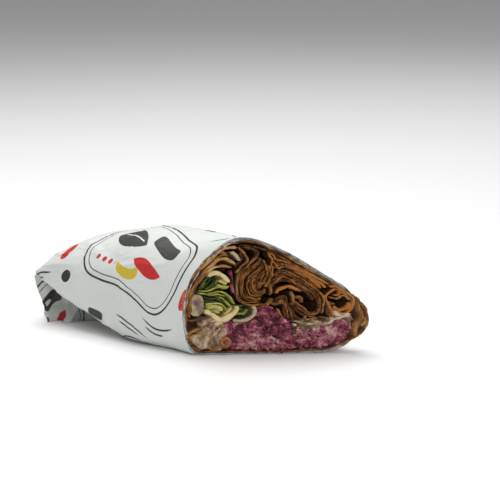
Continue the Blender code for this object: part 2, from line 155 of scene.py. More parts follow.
def read_line(at: Points, known: Points, line: Points) -> Points:
    """The points of a line at these measures along it, from the measures of its own points."""
    return np.stack([np.interp(at, known, column) for column in line.T], 1)


def smooth_curve(points: Line, step: float, closed: bool = False) -> Points:
    """Evenly spaced points on a smooth curve through the given ones.

    Args:
        points: The points that the curve goes through.
        step: The distance between the points of the result.
        closed: Whether the curve returns to its start.

    Returns:
        An array of points, without the first one again at the end of a closed curve.
    """
    pts = np.array(points, float)
    count = len(pts)
    dense = []
    for i in range(count if closed else count - 1):
        if closed:
            a, b, c, d = (pts[(i + k) % count] for k in (-1, 0, 1, 2))
        else:
            b, c = pts[i], pts[i + 1]
            a = pts[i - 1] if i else 2 * b - c
            d = pts[i + 2] if i + 2 < count else 2 * c - b
        t = np.linspace(0, 1, 12, endpoint=False)[:, None]
        square, cube = 2 * a - 5 * b + 4 * c - d, 3 * b - a - 3 * c + d
        dense.append(b + 0.5 * ((c - a) * t + square * t**2 + cube * t**3))
    dense = np.concatenate([*dense, pts[:1] if closed else pts[-1:]])
    along = np.concatenate([[0], np.cumsum(np.linalg.norm(np.diff(dense, axis=0), axis=1))])
    steps = max(int(round(along[-1] / step)), 3)
    at = np.linspace(0, along[-1], steps + (not closed), endpoint=not closed)
    return read_line(at, along, dense)


def side_of(line: Points, closed: bool = False) -> Points:
    """Unit vectors to the right of the way a flat line runs.

    Args:
        line: The line's points.
        closed: Whether it returns to its start.

    Returns:
        One vector for each point.
    """
    way = np.roll(line, -1, 0) - np.roll(line, 1, 0) if closed else np.gradient(line, axis=0)
    way /= np.maximum(np.linalg.norm(way, axis=1), 1e-9)[:, None]
    return np.stack([way[:, 1], -way[:, 0]], 1)


def inside(points: Points, ring: Points) -> Points:
    """Tells which flat points lie inside a closed outline.

    Args:
        points: The points.
        ring: The outline's points.

    Returns:
        Whether it is inside, for each point.
    """
    x, y = points[..., 0, None], points[..., 1, None]
    x0, y0 = ring[:, 0], ring[:, 1]
    x1, y1 = np.roll(x0, -1), np.roll(y0, -1)
    crosses = (y0 > y) != (y1 > y)
    where = x0 + (y - y0) * (x1 - x0) / np.where(y1 == y0, 1e-9, y1 - y0)
    return (crosses & (x < where)).sum(-1) % 2 == 1


# The slanted cut and the filling behind it


@dataclass(frozen=True)
class CutPlane:
    """The slanted cut: where it is, and how the filling behind it narrows."""

    angle: float = math.radians(42)
    x: float = 70.0
    fill_depth: float = 70.0
    taper: float = 0.38
    centre_v: float = 30.0

    def place(self, u: Points, v: Points, s: Points) -> Points:
        """Turns places on the cut and behind it into points of the row frame.

        Args:
            u: How far along the cut's slant.
            v: How far up it.
            s: How far behind it.

        Returns:
            The points.
        """
        u, v, s = np.broadcast_arrays(*(np.asarray(w, float) for w in (u, v, s)))
        keep = 1 - self.taper * s / self.fill_depth
        across, up = keep * u, self.centre_v + keep * (v - self.centre_v)
        return np.stack([self.x - s + across * math.cos(self.angle), across * math.sin(self.angle), up], -1)


CUT = CutPlane()

CUT_OUTLINE: Line = (
    (-44, 0.4), (-30, 0), (-10, 0), (11, 0), (26, 0.8), (38, 4), (46, 8.5), (51, 14), (52, 20.5), (48.5, 28),
    (41, 35), (31, 41.5), (20, 48.5), (9, 55.5), (-3, 61.5), (-12, 65), (-20, 66), (-28, 63.5), (-37, 56.5),
    (-45, 47.5), (-50, 37), (-52, 25), (-51, 12), (-48.5, 4),
)
BREAD_INNER: Line = (
    (-46.2, 6), (-42, 3.2), (-34, 2.4), (-10, 2.4), (12, 2.6), (31, 4), (38.4, 6.6), (42.3, 12), (42.9, 18),
    (42.6, 29), (39.4, 34.4), (32.2, 38.9), (23, 43.6), (14, 49), (5, 54), (-5, 58.6), (-10, 61.4), (-16, 62.6),
    (-22, 61.4), (-25.8, 58.4), (-24.2, 54), (-25, 47.5), (-27.2, 46), (-31, 48.2), (-36, 47.6), (-39.8, 43.8),
    (-43.6, 37.4), (-47, 33.4), (-47.8, 28), (-46.6, 22), (-42.6, 19.4), (-41.6, 15.6), (-43.4, 12.8),
    (-46.4, 11),
)


@dataclass(frozen=True)
class Station:
    """The section of the wrapped roll at a distance back from the cut."""

    back: float
    half_width: float
    low: float
    widest_at: float
    top: float
    low_square: float
    top_square: float
    ridge: float


@dataclass(frozen=True)
class RollForm:
    """The outer form of the wrapped roll, from its cut to its folded end."""

    length: float = 156.0
    height: float = 66.0
    square_from: float = 100.0
    outline_step: float = 1.2
    stations: tuple[Station, ...] = (
        Station(30, 35.8, -0.8, 26, 62, 5.5, 2.15, -7),
        Station(58, 36, -0.8, 26, 63, 5.5, 2.2, -4),
        Station(80, 35, -0.4, 24, 62.5, 5.0, 2.2, -2),
        Station(98, 33.5, 3, 21, 58, 4.6, 2.3, 0),
        Station(116, 31.5, 9.5, 20.5, 52.5, 4.8, 2.4, 0),
        Station(136, 30, 17, 23, 46, 5.0, 2.8, 0),
        Station(150, 29, 22.5, 26, 40.5, 5.0, 3.2, 0),
        Station(156.0, 28.5, 24, 27, 38, 5.0, 3.4, 0),
    )

    def cut_section(self, turns: Points) -> Points:
        """The outline of the cut seen along the roll.

        Args:
            turns: Angles round the outline.

        Returns:
            (y, z) for each of them.
        """
        dense = smooth_curve(CUT_OUTLINE, self.outline_step, True) * (math.sin(CUT.angle), 1)
        dense[:, 1] = np.maximum(dense[:, 1], 0)
        first = self.stations[0]
        across = dense[:, 0] / first.half_width
        above = dense[:, 1] > first.widest_at
        up = (dense[:, 1] - first.widest_at) / np.where(above, self.height - first.widest_at, first.widest_at)
        turn = np.unwrap(np.arctan2(up, across))
        wanted = turn[0] + (turns - turn[0]) % (2 * math.pi)
        turn = np.append(turn, turn[0] + 2 * math.pi)
        dense = np.vstack([dense, dense[:1]])
        return read_line(wanted, turn, dense)

    @staticmethod
    def station_section(st: Station, turns: Points) -> Points:
        """The outline of the roll at a station: an arch with a flatter underside.

        Args:
            st: The station.
            turns: Angles round the outline.

        Returns:
            (y, z) for each of them.
        """
        cos, sin = np.cos(turns), np.sin(turns)
        square = np.where(sin > 0, st.top_square, st.low_square)
        rise = np.where(sin > 0, st.top - st.widest_at, st.widest_at - st.low)
        y = st.half_width * np.sign(cos) * np.abs(cos) ** (2 / square)
        z = st.widest_at + rise * np.sign(sin) * np.abs(sin) ** (2 / square)
        y = y + st.ridge * np.clip((z - st.widest_at) / (st.top - st.widest_at), 0, 1) ** 2
        return np.stack([y, np.maximum(z, 0)], 1)

    def sections(self, backs: Points, turns: Points) -> Points:
        """Outlines of the wrapped roll at these distances back, on a smooth curve through the stations.

        Args:
            backs: Distances back from the cut.
            turns: Angles round the section.

        Returns:
            An array of (y, z) for each distance and turn.
        """
        known = [self.cut_section(turns), *(self.station_section(st, turns) for st in self.stations)]
        at = [0.0, *(st.back for st in self.stations)]
        rings = []
        for s in backs:
            s = min(max(s, 0), self.length)
            i = int(np.clip(np.searchsorted(at, s, "right") - 1, 0, len(at) - 2))
            t = (s - at[i]) / (at[i + 1] - at[i])
            b, c = known[i], known[i + 1]
            a = known[i - 1] if i else b
            d = known[i + 2] if i + 2 < len(at) else c
            ring = b + 0.5 * t * (c - a) + t**2 * (a - 2.5 * b + 2 * c - 0.5 * d)
            ring = ring + 0.5 * t**3 * (3 * b - a - 3 * c + d)
            ring[:, 1] = np.maximum(ring[:, 1], 0)
            rings.append(ring)
        return np.array(rings)

    def slant(self, s: Points) -> Points:
        """How far a section leans along the roll for each step across it."""
        return (1 - np.clip(s, 0, self.square_from) / self.square_from) / math.tan(CUT.angle)

    def place(self, s: Points, y: Points, z: Points) -> Points:
        """Turns places on sections into points of the row frame."""
        s, y, z = np.broadcast_arrays(s, y, z)
        return np.stack([CUT.x - s + self.slant(s) * y, y, z], -1)


ROLL = RollForm()


def shrunk(rings: Points, by: float) -> Points:
    """Brings outlines in from each side.

    Args:
        rings: The outlines, with their points on the last axis but one.
        by: How far each side comes in.

    Returns:
        The smaller outlines.
    """
    low, high = rings.min(-2, keepdims=True), rings.max(-2, keepdims=True)
    middle, half = (low + high) / 2, (high - low) / 2
    return middle + (rings - middle) * (1 - by / half)


# Meshes


class Batch:
    """Collects closed shapes into one mesh, with a tint and an edge value at each of their points."""

    def __init__(self) -> None:
        """Starts with nothing in it."""
        self.points: list[Points] = []
        self.faces: list[list[int]] = []
        self.values: dict[str, list[Points]] = {"tint": [], "edge": []}
        self.sheet: list[Points] = []
        self.count = 0

    def grid(self, grid: Points, tint: Union[float, Points], edge: Union[float, Points] = 0.0,
             loop: bool = False, sheet: Optional[Points] = None) -> None:
        """Adds a tube whose rows are closed rings.

        Args:
            grid: Points as (rows, points in a row, 3), in millimetres.
            tint: The tint of each point or of all of them.
            edge: The edge value of each point or of all of them.
            loop: Whether the last row joins the first.
            sheet: The place of each point on the flat sheet, as (rows, points in a row, 3).
        """
        rows, across = grid.shape[:2]
        at = np.arange(rows * across).reshape(rows, across) + self.count
        near = at if loop else at[:-1]
        far = np.roll(at, -1, 0) if loop else at[1:]
        quads = np.stack([near, np.roll(near, -1, 1), np.roll(far, -1, 1), far], -1)
        self.faces += quads.reshape(-1, 4).tolist()
        if not loop:
            self.faces += [at[0][::-1].tolist(), at[-1].tolist()]
        self.points.append(grid.reshape(-1, 3))
        for name, value in (("tint", tint), ("edge", edge)):
            self.values[name].append(np.broadcast_to(value, (rows, across)).reshape(-1))
        self.sheet.append(np.zeros((rows * across, 3)) if sheet is None else sheet.reshape(-1, 3))
        self.count += rows * across

    def build(self, name: str, finish: bpy.types.Material, replaces: Sequence[str], slot: str) -> None:
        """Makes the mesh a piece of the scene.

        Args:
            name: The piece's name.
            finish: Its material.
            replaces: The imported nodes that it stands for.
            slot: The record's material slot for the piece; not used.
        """
        mesh = bpy.data.meshes.new(name)
        points = np.clip(np.concatenate(self.points) * MM, *np.array([tuple(corner) for corner in CAD_BOX]))
        mesh.from_pydata(points.tolist(), [], self.faces)
        for key, parts in self.values.items():
            made = mesh.attributes.new(key, "FLOAT", "POINT")
            made.data.foreach_set("value", np.concatenate(parts).astype(np.float32))
        made = mesh.attributes.new("sheet", "FLOAT_VECTOR", "POINT")
        made.data.foreach_set("vector", np.concatenate(self.sheet).astype(np.float32).ravel())
        mesh.validate()
        mesh.materials.append(finish)
        mesh.shade_smooth()
        piece = add_object(name, mesh)
        fix_facing(piece)
        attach(piece, BODY)
        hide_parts(*replaces)
        log.info("%s: %d points, %d faces", name, len(mesh.vertices), len(mesh.polygons))


def add_object(name: str, data: bpy.types.ID) -> bpy.types.Object:
    """Puts an object in the scene.

    Args:
        name: Its name.
        data: Its mesh, camera or light.

    Returns:
        The object.
    """
    made = bpy.data.objects.new(name, data)
    bpy.context.scene.collection.objects.link(made)
    return made


def fix_facing(piece: bpy.types.Object) -> None:
    """Turns the faces of a piece's closed shapes outwards.

    Args:
        piece: The piece.
    """
    bm = bmesh.new()
    bm.from_mesh(piece.data)
    bmesh.ops.recalc_face_normals(bm, faces=bm.faces)
    bm.to_mesh(piece.data)
    bm.free()


@dataclass(frozen=True)
class Layer:
    """One thin slice, leaf or sheet, seen as its edge on the cut.

    The tables give its line, and then mostly its thickness, its front, its depth and its tint, in this order.
    """

    line: Line
    thick: float = 1.0
    front: float = 0.0
    depth: float = 16.0
    tint: float = 0.5
    closed: bool = False
    rough: float = 0.28
    sway: float = 0.5
    step: float = 0.5
    kink: float = 0.3
    tilt: float = 0.5
    spread: float = 0.25
    rim: float = 1.1
    warm: Triple = (0.0, 0.0, 1.0)

    PROFILE = (
        (1.0, -1), (0.5, -1), (0.22, -1), (0.1, -1), (0.04, -0.97), (0.01, -0.8), (-0.004, -0.4), (-0.004, 0.4),
        (0.01, 0.8), (0.04, 0.97), (0.1, 1), (0.22, 1), (0.5, 1), (1.0, 1),
    )
    BENDS = ((1.0, 3.4, 7), (0.3, 1.5, 8))
    THICKNESS = ((0.3, 3.1, 0), (0.16, 1.1, 0))
    STANDING = ((0.7, 7.0, 9),)
    RAGGED = ((1.0, 2.2, 3), (0.6, 0.8, 5))
    LEANING = ((1.0, 6.0, 11),)
    SWINGING = ((1.0, 6.0, 1),)
    SHADES = ((1.0, 8.0, 13), (0.6, 3.0, 14))
    BLUNT = 0.03
    STRAIGHT_FROM = 0.4
    APART = 7.1

    def half_thickness(self, key: Points, seed: int) -> Points:
        """Half the thickness along the layer, with round ends where it is open.

        Args:
            key: Where the noise is read, for each point of the line.
            seed: Fixes its unevenness.

        Returns:
            One measure for each point.
        """
        half = 0.5 * self.thick * (1 + uneven(key, self.THICKNESS, seed))
        if self.closed:
            return half
        at = np.arange(len(key))
        near = np.clip(np.minimum(at, at[::-1]) * self.step / max(0.5 * self.thick, self.step), 0, 1)
        return half * np.sqrt(np.clip(1 - (1 - near) ** 2, self.BLUNT, 1))

    def add_to(self, batch: Batch, seed: int) -> None:
        """Puts the layer in a batch.

        Args:
            batch: Where it goes.
            seed: Fixes its unevenness.
        """
        line = smooth_curve(self.line, self.step, self.closed)
        side = side_of(line, self.closed)
        key = np.concatenate([line, np.full((len(line), 1), self.APART * seed)], 1)
        line = line + side * (self.kink * uneven(key, self.BENDS, seed))[:, None]
        reach, share = np.array(self.PROFILE).T
        s = reach * self.depth
        width = share[None] * self.half_thickness(key, seed)[:, None]
        out = self.front + uneven(key, self.STANDING, seed) + self.rough * uneven(key, self.RAGGED, seed)
        lean = self.tilt * uneven(key, self.LEANING, seed)
        near_cut = np.where(reach > self.STRAIGHT_FROM, 0, 1)[None]
        back = s[None] + (out[:, None] + lean[:, None] * share[None]) * near_cut
        place = line[:, None] + side[:, None] * width[..., None]
        deep = s[None, :, None] + 0 * place[..., :1]
        field_at = np.concatenate([np.broadcast_to(line[:, None], place.shape), deep], -1)
        swing = self.sway * np.clip(reach, 0, 1)[None] * uneven(field_at, self.SWINGING, seed)
        place = place + side[:, None] * swing[..., None]
        shade = self.tint + self.spread * uneven(key, self.SHADES, seed)
        more, start, end = self.warm
        shade = shade + more * ramp(line[:, 0], start, end)
        # The edge value is one on the cut and nought this far behind it; the finishes paint shade where it is
        # nought.
        rim = ramp(s, self.rim, 0)
        batch.grid(CUT.place(place[..., 0], place[..., 1], back), shade[:, None], rim[None], loop=self.closed)


@dataclass(frozen=True)
class Family:
    """Layers that lie side by side, on lines between a few given ones.

    The tables give the lines and the count, and then mostly the layers' thickness, depth, tints and wander.
    """

    lines: tuple[Line, ...]
    count: int
    thick: float = 1.0
    depth: float = 16.0
    tints: Pair = (0.2, 0.8)
    wander: float = 0.3
    trim: float = 0.06
    front: Pair = (-0.5, 1.6)
    rough: float = 0.32
    warp: float = 0.9
    scraps: int = 0
    warm: Triple = (0.0, 0.0, 1.0)

    SAMPLES = 34
    SAMPLE_STEP = 0.3
    JITTER = 0.28
    WARP_SIZE = 5.0
    WANDER_SIZE = 4.5
    THINNER = (0.7, 1.25)
    APART = 13.7
    SCRAP_START = (0.0, 0.75)
    SCRAP_SHARE = (0.12, 0.3)
    SCRAP_ASIDE = (0.5, 0.9)
    SCRAP_THICK = (0.4, 0.7)
    SCRAP_FRONT = (0.0, 2.2)
    SCRAP_DEPTH = 0.6
    SCRAP_ROUGH = 1.4
    SCRAP_KINK = 0.15

    def scrap(self, line: Points, rng: np.random.Generator) -> Layer:
        """Works out a short loose piece beside one of the layers.

        Args:
            line: The layer's line.
            rng: Gives the random draws.

        Returns:
            The loose piece.
        """
        start, share = rng.uniform(*self.SCRAP_START), rng.uniform(*self.SCRAP_SHARE)
        piece = line[int(start * self.SAMPLES):][:max(int(share * self.SAMPLES), 4)]
        aside = rng.choice((-1, 1)) * rng.uniform(*self.SCRAP_ASIDE) * self.thick
        piece = piece + side_of(piece) * (aside + rng.normal(0, self.SCRAP_KINK, (len(piece), 1)))
        thick, front = self.thick * rng.uniform(*self.SCRAP_THICK), rng.uniform(*self.SCRAP_FRONT)
        return Layer(
            piece, thick, front, self.SCRAP_DEPTH * self.depth, rng.uniform(0, 1),
            rough=self.rough * self.SCRAP_ROUGH, kink=self.SCRAP_KINK, warm=self.warm,
        )

    def layers(self, seed: int) -> list[Layer]:
        """Works out each layer of the family.

        Args:
            seed: Fixes its layers' unevenness and random draws.

        Returns:
            The layers, from the first line to the last.
        """
        rng = np.random.default_rng(SEED + seed)
        known = []
        for line in self.lines:
            dense = smooth_curve(line, self.SAMPLE_STEP)
            known.append(read_line(np.linspace(0, len(dense) - 1, self.SAMPLES), np.arange(len(dense)), dense))
        made = []
        for k in range(self.count):
            t = ramp(k + rng.uniform(-self.JITTER, self.JITTER), 0, self.count - 1) * (len(known) - 1)
            i = min(int(t), len(known) - 2)
            line = known[i] + (t - i) * (known[i + 1] - known[i])
            shared = [flat_noise(line, self.WARP_SIZE, seed + j) for j in range(2)]
            line = line + self.warp * np.stack(shared, 1)
            key = np.concatenate([line, np.full((self.SAMPLES, 1), self.APART * k)], 1)
            line = line + side_of(line) * (self.wander * smooth_noise(key, self.WANDER_SIZE, seed))[:, None]
            first, last = rng.uniform(0, self.trim), 1 - rng.uniform(0, self.trim)
            at = np.linspace(first, last, self.SAMPLES) * (self.SAMPLES - 1)
            line = read_line(at, np.arange(self.SAMPLES), line)
            made.append(Layer(
                line, self.thick * rng.uniform(*self.THINNER), rng.uniform(*self.front), self.depth,
                rng.uniform(*self.tints), rough=self.rough, warm=self.warm,
            ))
            made += [self.scrap(line, rng) for _ in range(self.scraps)]
        return made


Part = Union[Layer, Family]


def add_layers(batch: Batch, parts: Sequence[Part], seed: int) -> list[Layer]:
    """Puts layers and families of layers in a batch.

    Args:
        batch: Where they go.
        parts: The layers and families.
        seed: Fixes their unevenness.

    Returns:
        All of the layers.
    """
    made = []
    for k, part in enumerate(parts):
        first = seed + SEED_STEP * k
        for j, layer in enumerate(part.layers(first) if isinstance(part, Family) else [part]):
            layer.add_to(batch, first + j)
            made.append(layer)
    return made


@dataclass(frozen=True)
class Mound:
    """A soft lump that fills an outline on the cut and runs back from it."""

    outline: Line
    front: float = 0.5
    swell: float = 1.0
    lumps: float = 0.8
    lump_size: float = 3.0
    depth: float = 66.0
    tint: float = 0.5
    tint_spread: float = 0.3
    edge: float = 3.0
    around: float = 0.7
    rings: int = 34
    edge_value: float = 1.0
    core: float = 0.0

    FIRST_RING = 0.02
    FINE_LUMPS = (0.5, 2.3)
    TINT_SIZE = 5.0
    LUMP_TINT = 0.3
    FLAT_RIM = 0.3
    BACK_ROWS = (1.0, 4.0)
    NARROW_FROM = 20.0
    NARROW_SHARE = 0.9

    def add_to(self, batch: Batch, seed: int, pale: Optional[Tone] = None) -> None:
        """Puts the lump in a batch, as rings from its middle outwards and then back into the roll.

        Args:
            batch: Where it goes.
            seed: Fixes its unevenness.
            pale: Gives how pale it is from the place on the cut.
        """
        ring = smooth_curve(self.outline, self.around, True)
        middle = ring.mean(0)
        reach = np.linalg.norm(ring - middle, axis=1)
        fine, finer = self.FINE_LUMPS
        octaves = ((1.0, self.lump_size, 0), (fine, self.lump_size / finer, 1))
        rows, tints = [], []
        for share in np.linspace(self.FIRST_RING, 1, self.rings):
            flat = middle + share * (ring - middle)
            from_rim = np.clip((1 - share) * reach / self.edge, 0, 1)
            round_off = np.sqrt(np.clip(1 - (1 - from_rim) ** 2, 0, 1))
            bumps = self.lumps * uneven(flat, octaves, seed)
            s = self.front + self.swell * (1 - round_off)
            s = s - bumps * (self.FLAT_RIM + (1 - self.FLAT_RIM) * round_off)
            rows.append(CUT.place(flat[:, 0], flat[:, 1], s))
            shade = self.tint + self.tint_spread * flat_noise(flat, self.TINT_SIZE, seed + 2)
            # Painted shade and light: the tint rises where lumps stand out and falls where they sink.
            shade = shade + self.LUMP_TINT * bumps / max(self.lumps, 0.1) + self.core * (1 - share**2)
            tints.append(shade if pale is None else shade + pale(flat[:, 0], flat[:, 1]))
        for s in (*(self.front + self.swell + more for more in self.BACK_ROWS), self.depth):
            flat = middle + (1 if s < self.NARROW_FROM else self.NARROW_SHARE) * (ring - middle)
            rows.append(CUT.place(flat[:, 0], flat[:, 1], s))
            tints.append(np.full(len(ring), self.tint))
        batch.grid(np.array(rows), np.array(tints), self.edge_value)


@dataclass(frozen=True)
class Shreds:
    """Many short strips that lie in an outline on the cut."""

    outline: Line
    count: int
    length: Pair = (4.0, 10.0)
    width: Pair = (1.3, 2.4)
    thick: Pair = (0.5, 0.9)
    lift: Pair = (-1.4, 0.6)
    tints: Pair = (0.0, 1.0)
    lean: float = 0.35
    curl: float = 0.16
    margin: float = 0.88

    SAMPLES = 9
    CORNERS = 8
    SQUARE = 0.6
    LEAST_WIDTH = 0.06
    TWIST = 0.12
    SAG = 0.25
    WAVE = (0.15, 0.9)
    OUTSIDE_LEAST = 0.4
    TONES = (0.26, 0.36, 1.8)

    def strip(self, at: Points, rng: np.random.Generator) -> tuple[Points, Points]:
        """Works out one strip.

        Args:
            at: Its middle on the cut.
            rng: Gives the random draws.

        Returns:
            Its rings on the cut, and how far each of their points is behind it.
        """
        length, width = rng.uniform(*self.length), rng.uniform(*self.width)
        thick, bend = rng.uniform(*self.thick), rng.normal(0, self.curl)
        angle, tilt = rng.uniform(0, math.pi), rng.normal(0, self.lean)
        roll_over, lift = rng.uniform(0, math.pi), rng.uniform(*self.lift)
        t = np.linspace(-0.5, 0.5, self.SAMPLES) * length
        heading = angle + bend * t
        line = np.cumsum(np.stack([np.cos(heading), np.sin(heading)], 1), 0) * length / (self.SAMPLES - 1)
        line = at + line - line.mean(0)
        high, often = self.WAVE
        s = lift + math.sin(tilt) * t + self.SAG * bend * t**2 + high * np.sin(often * t + angle)
        turn = np.linspace(0, 2 * math.pi, self.CORNERS, endpoint=False)
        wide, tall = (np.sign(way) * np.abs(way) ** self.SQUARE for way in (np.cos(turn), np.sin(turn)))
        taper = np.sqrt(np.clip(1 - (np.abs(t) / (0.5 * length)) ** 6, self.LEAST_WIDTH, 1))
        cos, sin = (way(roll_over + self.TWIST * t)[:, None] for way in (np.cos, np.sin))
        w = 0.5 * width * wide[None] * taper[:, None]
        h = 0.5 * thick * tall[None] * taper[:, None]
        across = np.stack([-np.sin(heading), np.cos(heading)], 1)
        return line[:, None] + across[:, None] * (w * cos - h * sin)[..., None], s[:, None] + w * sin + h * cos

    def add_to(self, batch: Batch, seed: int, pale: Optional[Tone] = None) -> None:
        """Puts the strips in a batch.

        Args:
            batch: Where they go.
            seed: Fixes the random draws.
            pale: Gives how pale a strip is from its place on the cut.
        """
        rng = np.random.default_rng(SEED + seed)
        outline = smooth_curve(self.outline, 1.0, True)
        middle = outline.mean(0)
        ring = middle + self.margin * (outline - middle)
        low, high = ring.min(0), ring.max(0)
        made = 0
        while made < self.count:
            at = rng.uniform(low, high)
            if not inside(at[None], ring)[0]:
                continue
            made += 1
            uv, s = self.strip(at, rng)
            s = np.where(inside(uv, outline), s, np.maximum(s, self.OUTSIDE_LEAST))
            shade = rng.uniform(*self.tints)
            if pale is not None:
                least, spread, power = self.TONES
                shade = least + spread * shade**power + pale(at[0], at[1])
            batch.grid(CUT.place(uv[..., 0], uv[..., 1], s), np.clip(shade, 0, 1), 1.0)


@dataclass(frozen=True)
class Crumbs:
    """Small irregular bits that lie on the edges of layers."""

    count: int
    size: Pair = (0.4, 1.0)
    lift: Pair = (0.0, 0.7)
    squash: Pair = (0.5, 1.0)
    lumps: float = 0.16
    stray: float = 0.2

    BALL = (5, 6, 0.16)

    def add_to(self, batch: Batch, layers: Sequence[Layer], seed: int) -> None:
        """Puts the bits in a batch.

        Args:
            batch: Where they go.
            layers: What they lie on.
            seed: Fixes the random draws.
        """
        rng = np.random.default_rng(SEED + seed)
        rows, across, pole = self.BALL
        up = np.linspace(pole, math.pi - pole, rows)[:, None]
        turn = np.linspace(0, 2 * math.pi, across, endpoint=False)[None]
        ball = np.stack([np.sin(up) * np.cos(turn), np.sin(up) * np.sin(turn), np.cos(up) + 0 * turn], -1)
        places = [(point, layer.front) for layer in layers for point in smooth_curve(layer.line, 0.8)]
        for _ in range(self.count):
            at, front = places[rng.integers(len(places))]
            spin = np.linalg.qr(rng.normal(size=(3, 3)))[0]
            lumpy = ball * (1 + rng.normal(0, self.lumps, (rows, across, 1)))
            shape = lumpy * rng.uniform(*self.squash, 3) * rng.uniform(*self.size) * 0.5
            shape = shape @ spin + (*(at + rng.normal(0, self.stray, 2)), front + rng.uniform(*self.lift))
            batch.grid(CUT.place(shape[..., 0], shape[..., 1], shape[..., 2]), rng.uniform(0, 1), 1.0)


# Finishes


class Value:
    """A number that varies over a surface. Arithmetic on it adds Math nodes."""

    def __init__(self, tree: "Tree", socket: bpy.types.NodeSocket) -> None:
        """Wraps an output socket of a tree."""
        self.tree, self.socket = tree, socket

    def _maths(self, operation: str, first: "Number", second: "Number") -> "Value":
        """Adds a Math node on two numbers."""
        return self.tree.value("ShaderNodeMath", {"operation": operation}, {0: first, 1: second})

    def __add__(self, other: "Number") -> "Value":
        """The sum."""
        return self._maths("ADD", self, other)

    def __radd__(self, other: "Number") -> "Value":
        """The sum."""
        return self._maths("ADD", other, self)

    def __sub__(self, other: "Number") -> "Value":
        """The difference."""
        return self._maths("SUBTRACT", self, other)

    def __rsub__(self, other: "Number") -> "Value":
        """The difference, the other way round."""
        return self._maths("SUBTRACT", other, self)

    def __mul__(self, other: "Number") -> "Value":
        """The product."""
        return self._maths("MULTIPLY", self, other)

    def __rmul__(self, other: "Number") -> "Value":
        """The product."""
        return self._maths("MULTIPLY", other, self)

    def __truediv__(self, other: "Number") -> "Value":
        """The quotient."""
        return self._maths("DIVIDE", self, other)

    def __rtruediv__(self, other: "Number") -> "Value":
        """The quotient, the other way round."""
        return self._maths("DIVIDE", other, self)

    def __pow__(self, other: "Number") -> "Value":
        """The power."""
        return self._maths("POWER", self, other)

    def __rpow__(self, other: "Number") -> "Value":
        """The power, the other way round."""
        return self._maths("POWER", other, self)

    def maths(self, operation: str, other: "Number" = 0.0) -> "Value":
        """Any other Math node, by its operation."""
        return self._maths(operation, self, other)

    def clamped(self) -> "Value":
        """Kept between nought and one."""
        return self.tree.value("ShaderNodeClamp", {}, {"Value": self, "Min": 0.0, "Max": 1.0})

    def smooth(self, low: float, high: float) -> "Value":
        """Nought below low and one above high, with a smooth way between them."""
        inputs = {"Value": self, "From Min": low, "From Max": high, "To Min": 0.0, "To Max": 1.0}
        return self.tree.value("ShaderNodeMapRange", {"interpolation_type": "SMOOTHSTEP"}, inputs)


SOFT_SCALE = 0.5
Material = bpy.types.Material
Number = Union[Value, float]
Stops = tuple[tuple[float, Triple], ...]
Noises = tuple[tuple[float, tuple[float, ...]], ...]
Form = tuple[Pair, Pair, float]
Forms = tuple[Form, ...]
Colour = Union[bpy.types.NodeSocket, Triple]


def dimmed(colour: Triple, share: float) -> Triple:
    """This share of a colour's brightness."""
    return tuple(share * part for part in colour)


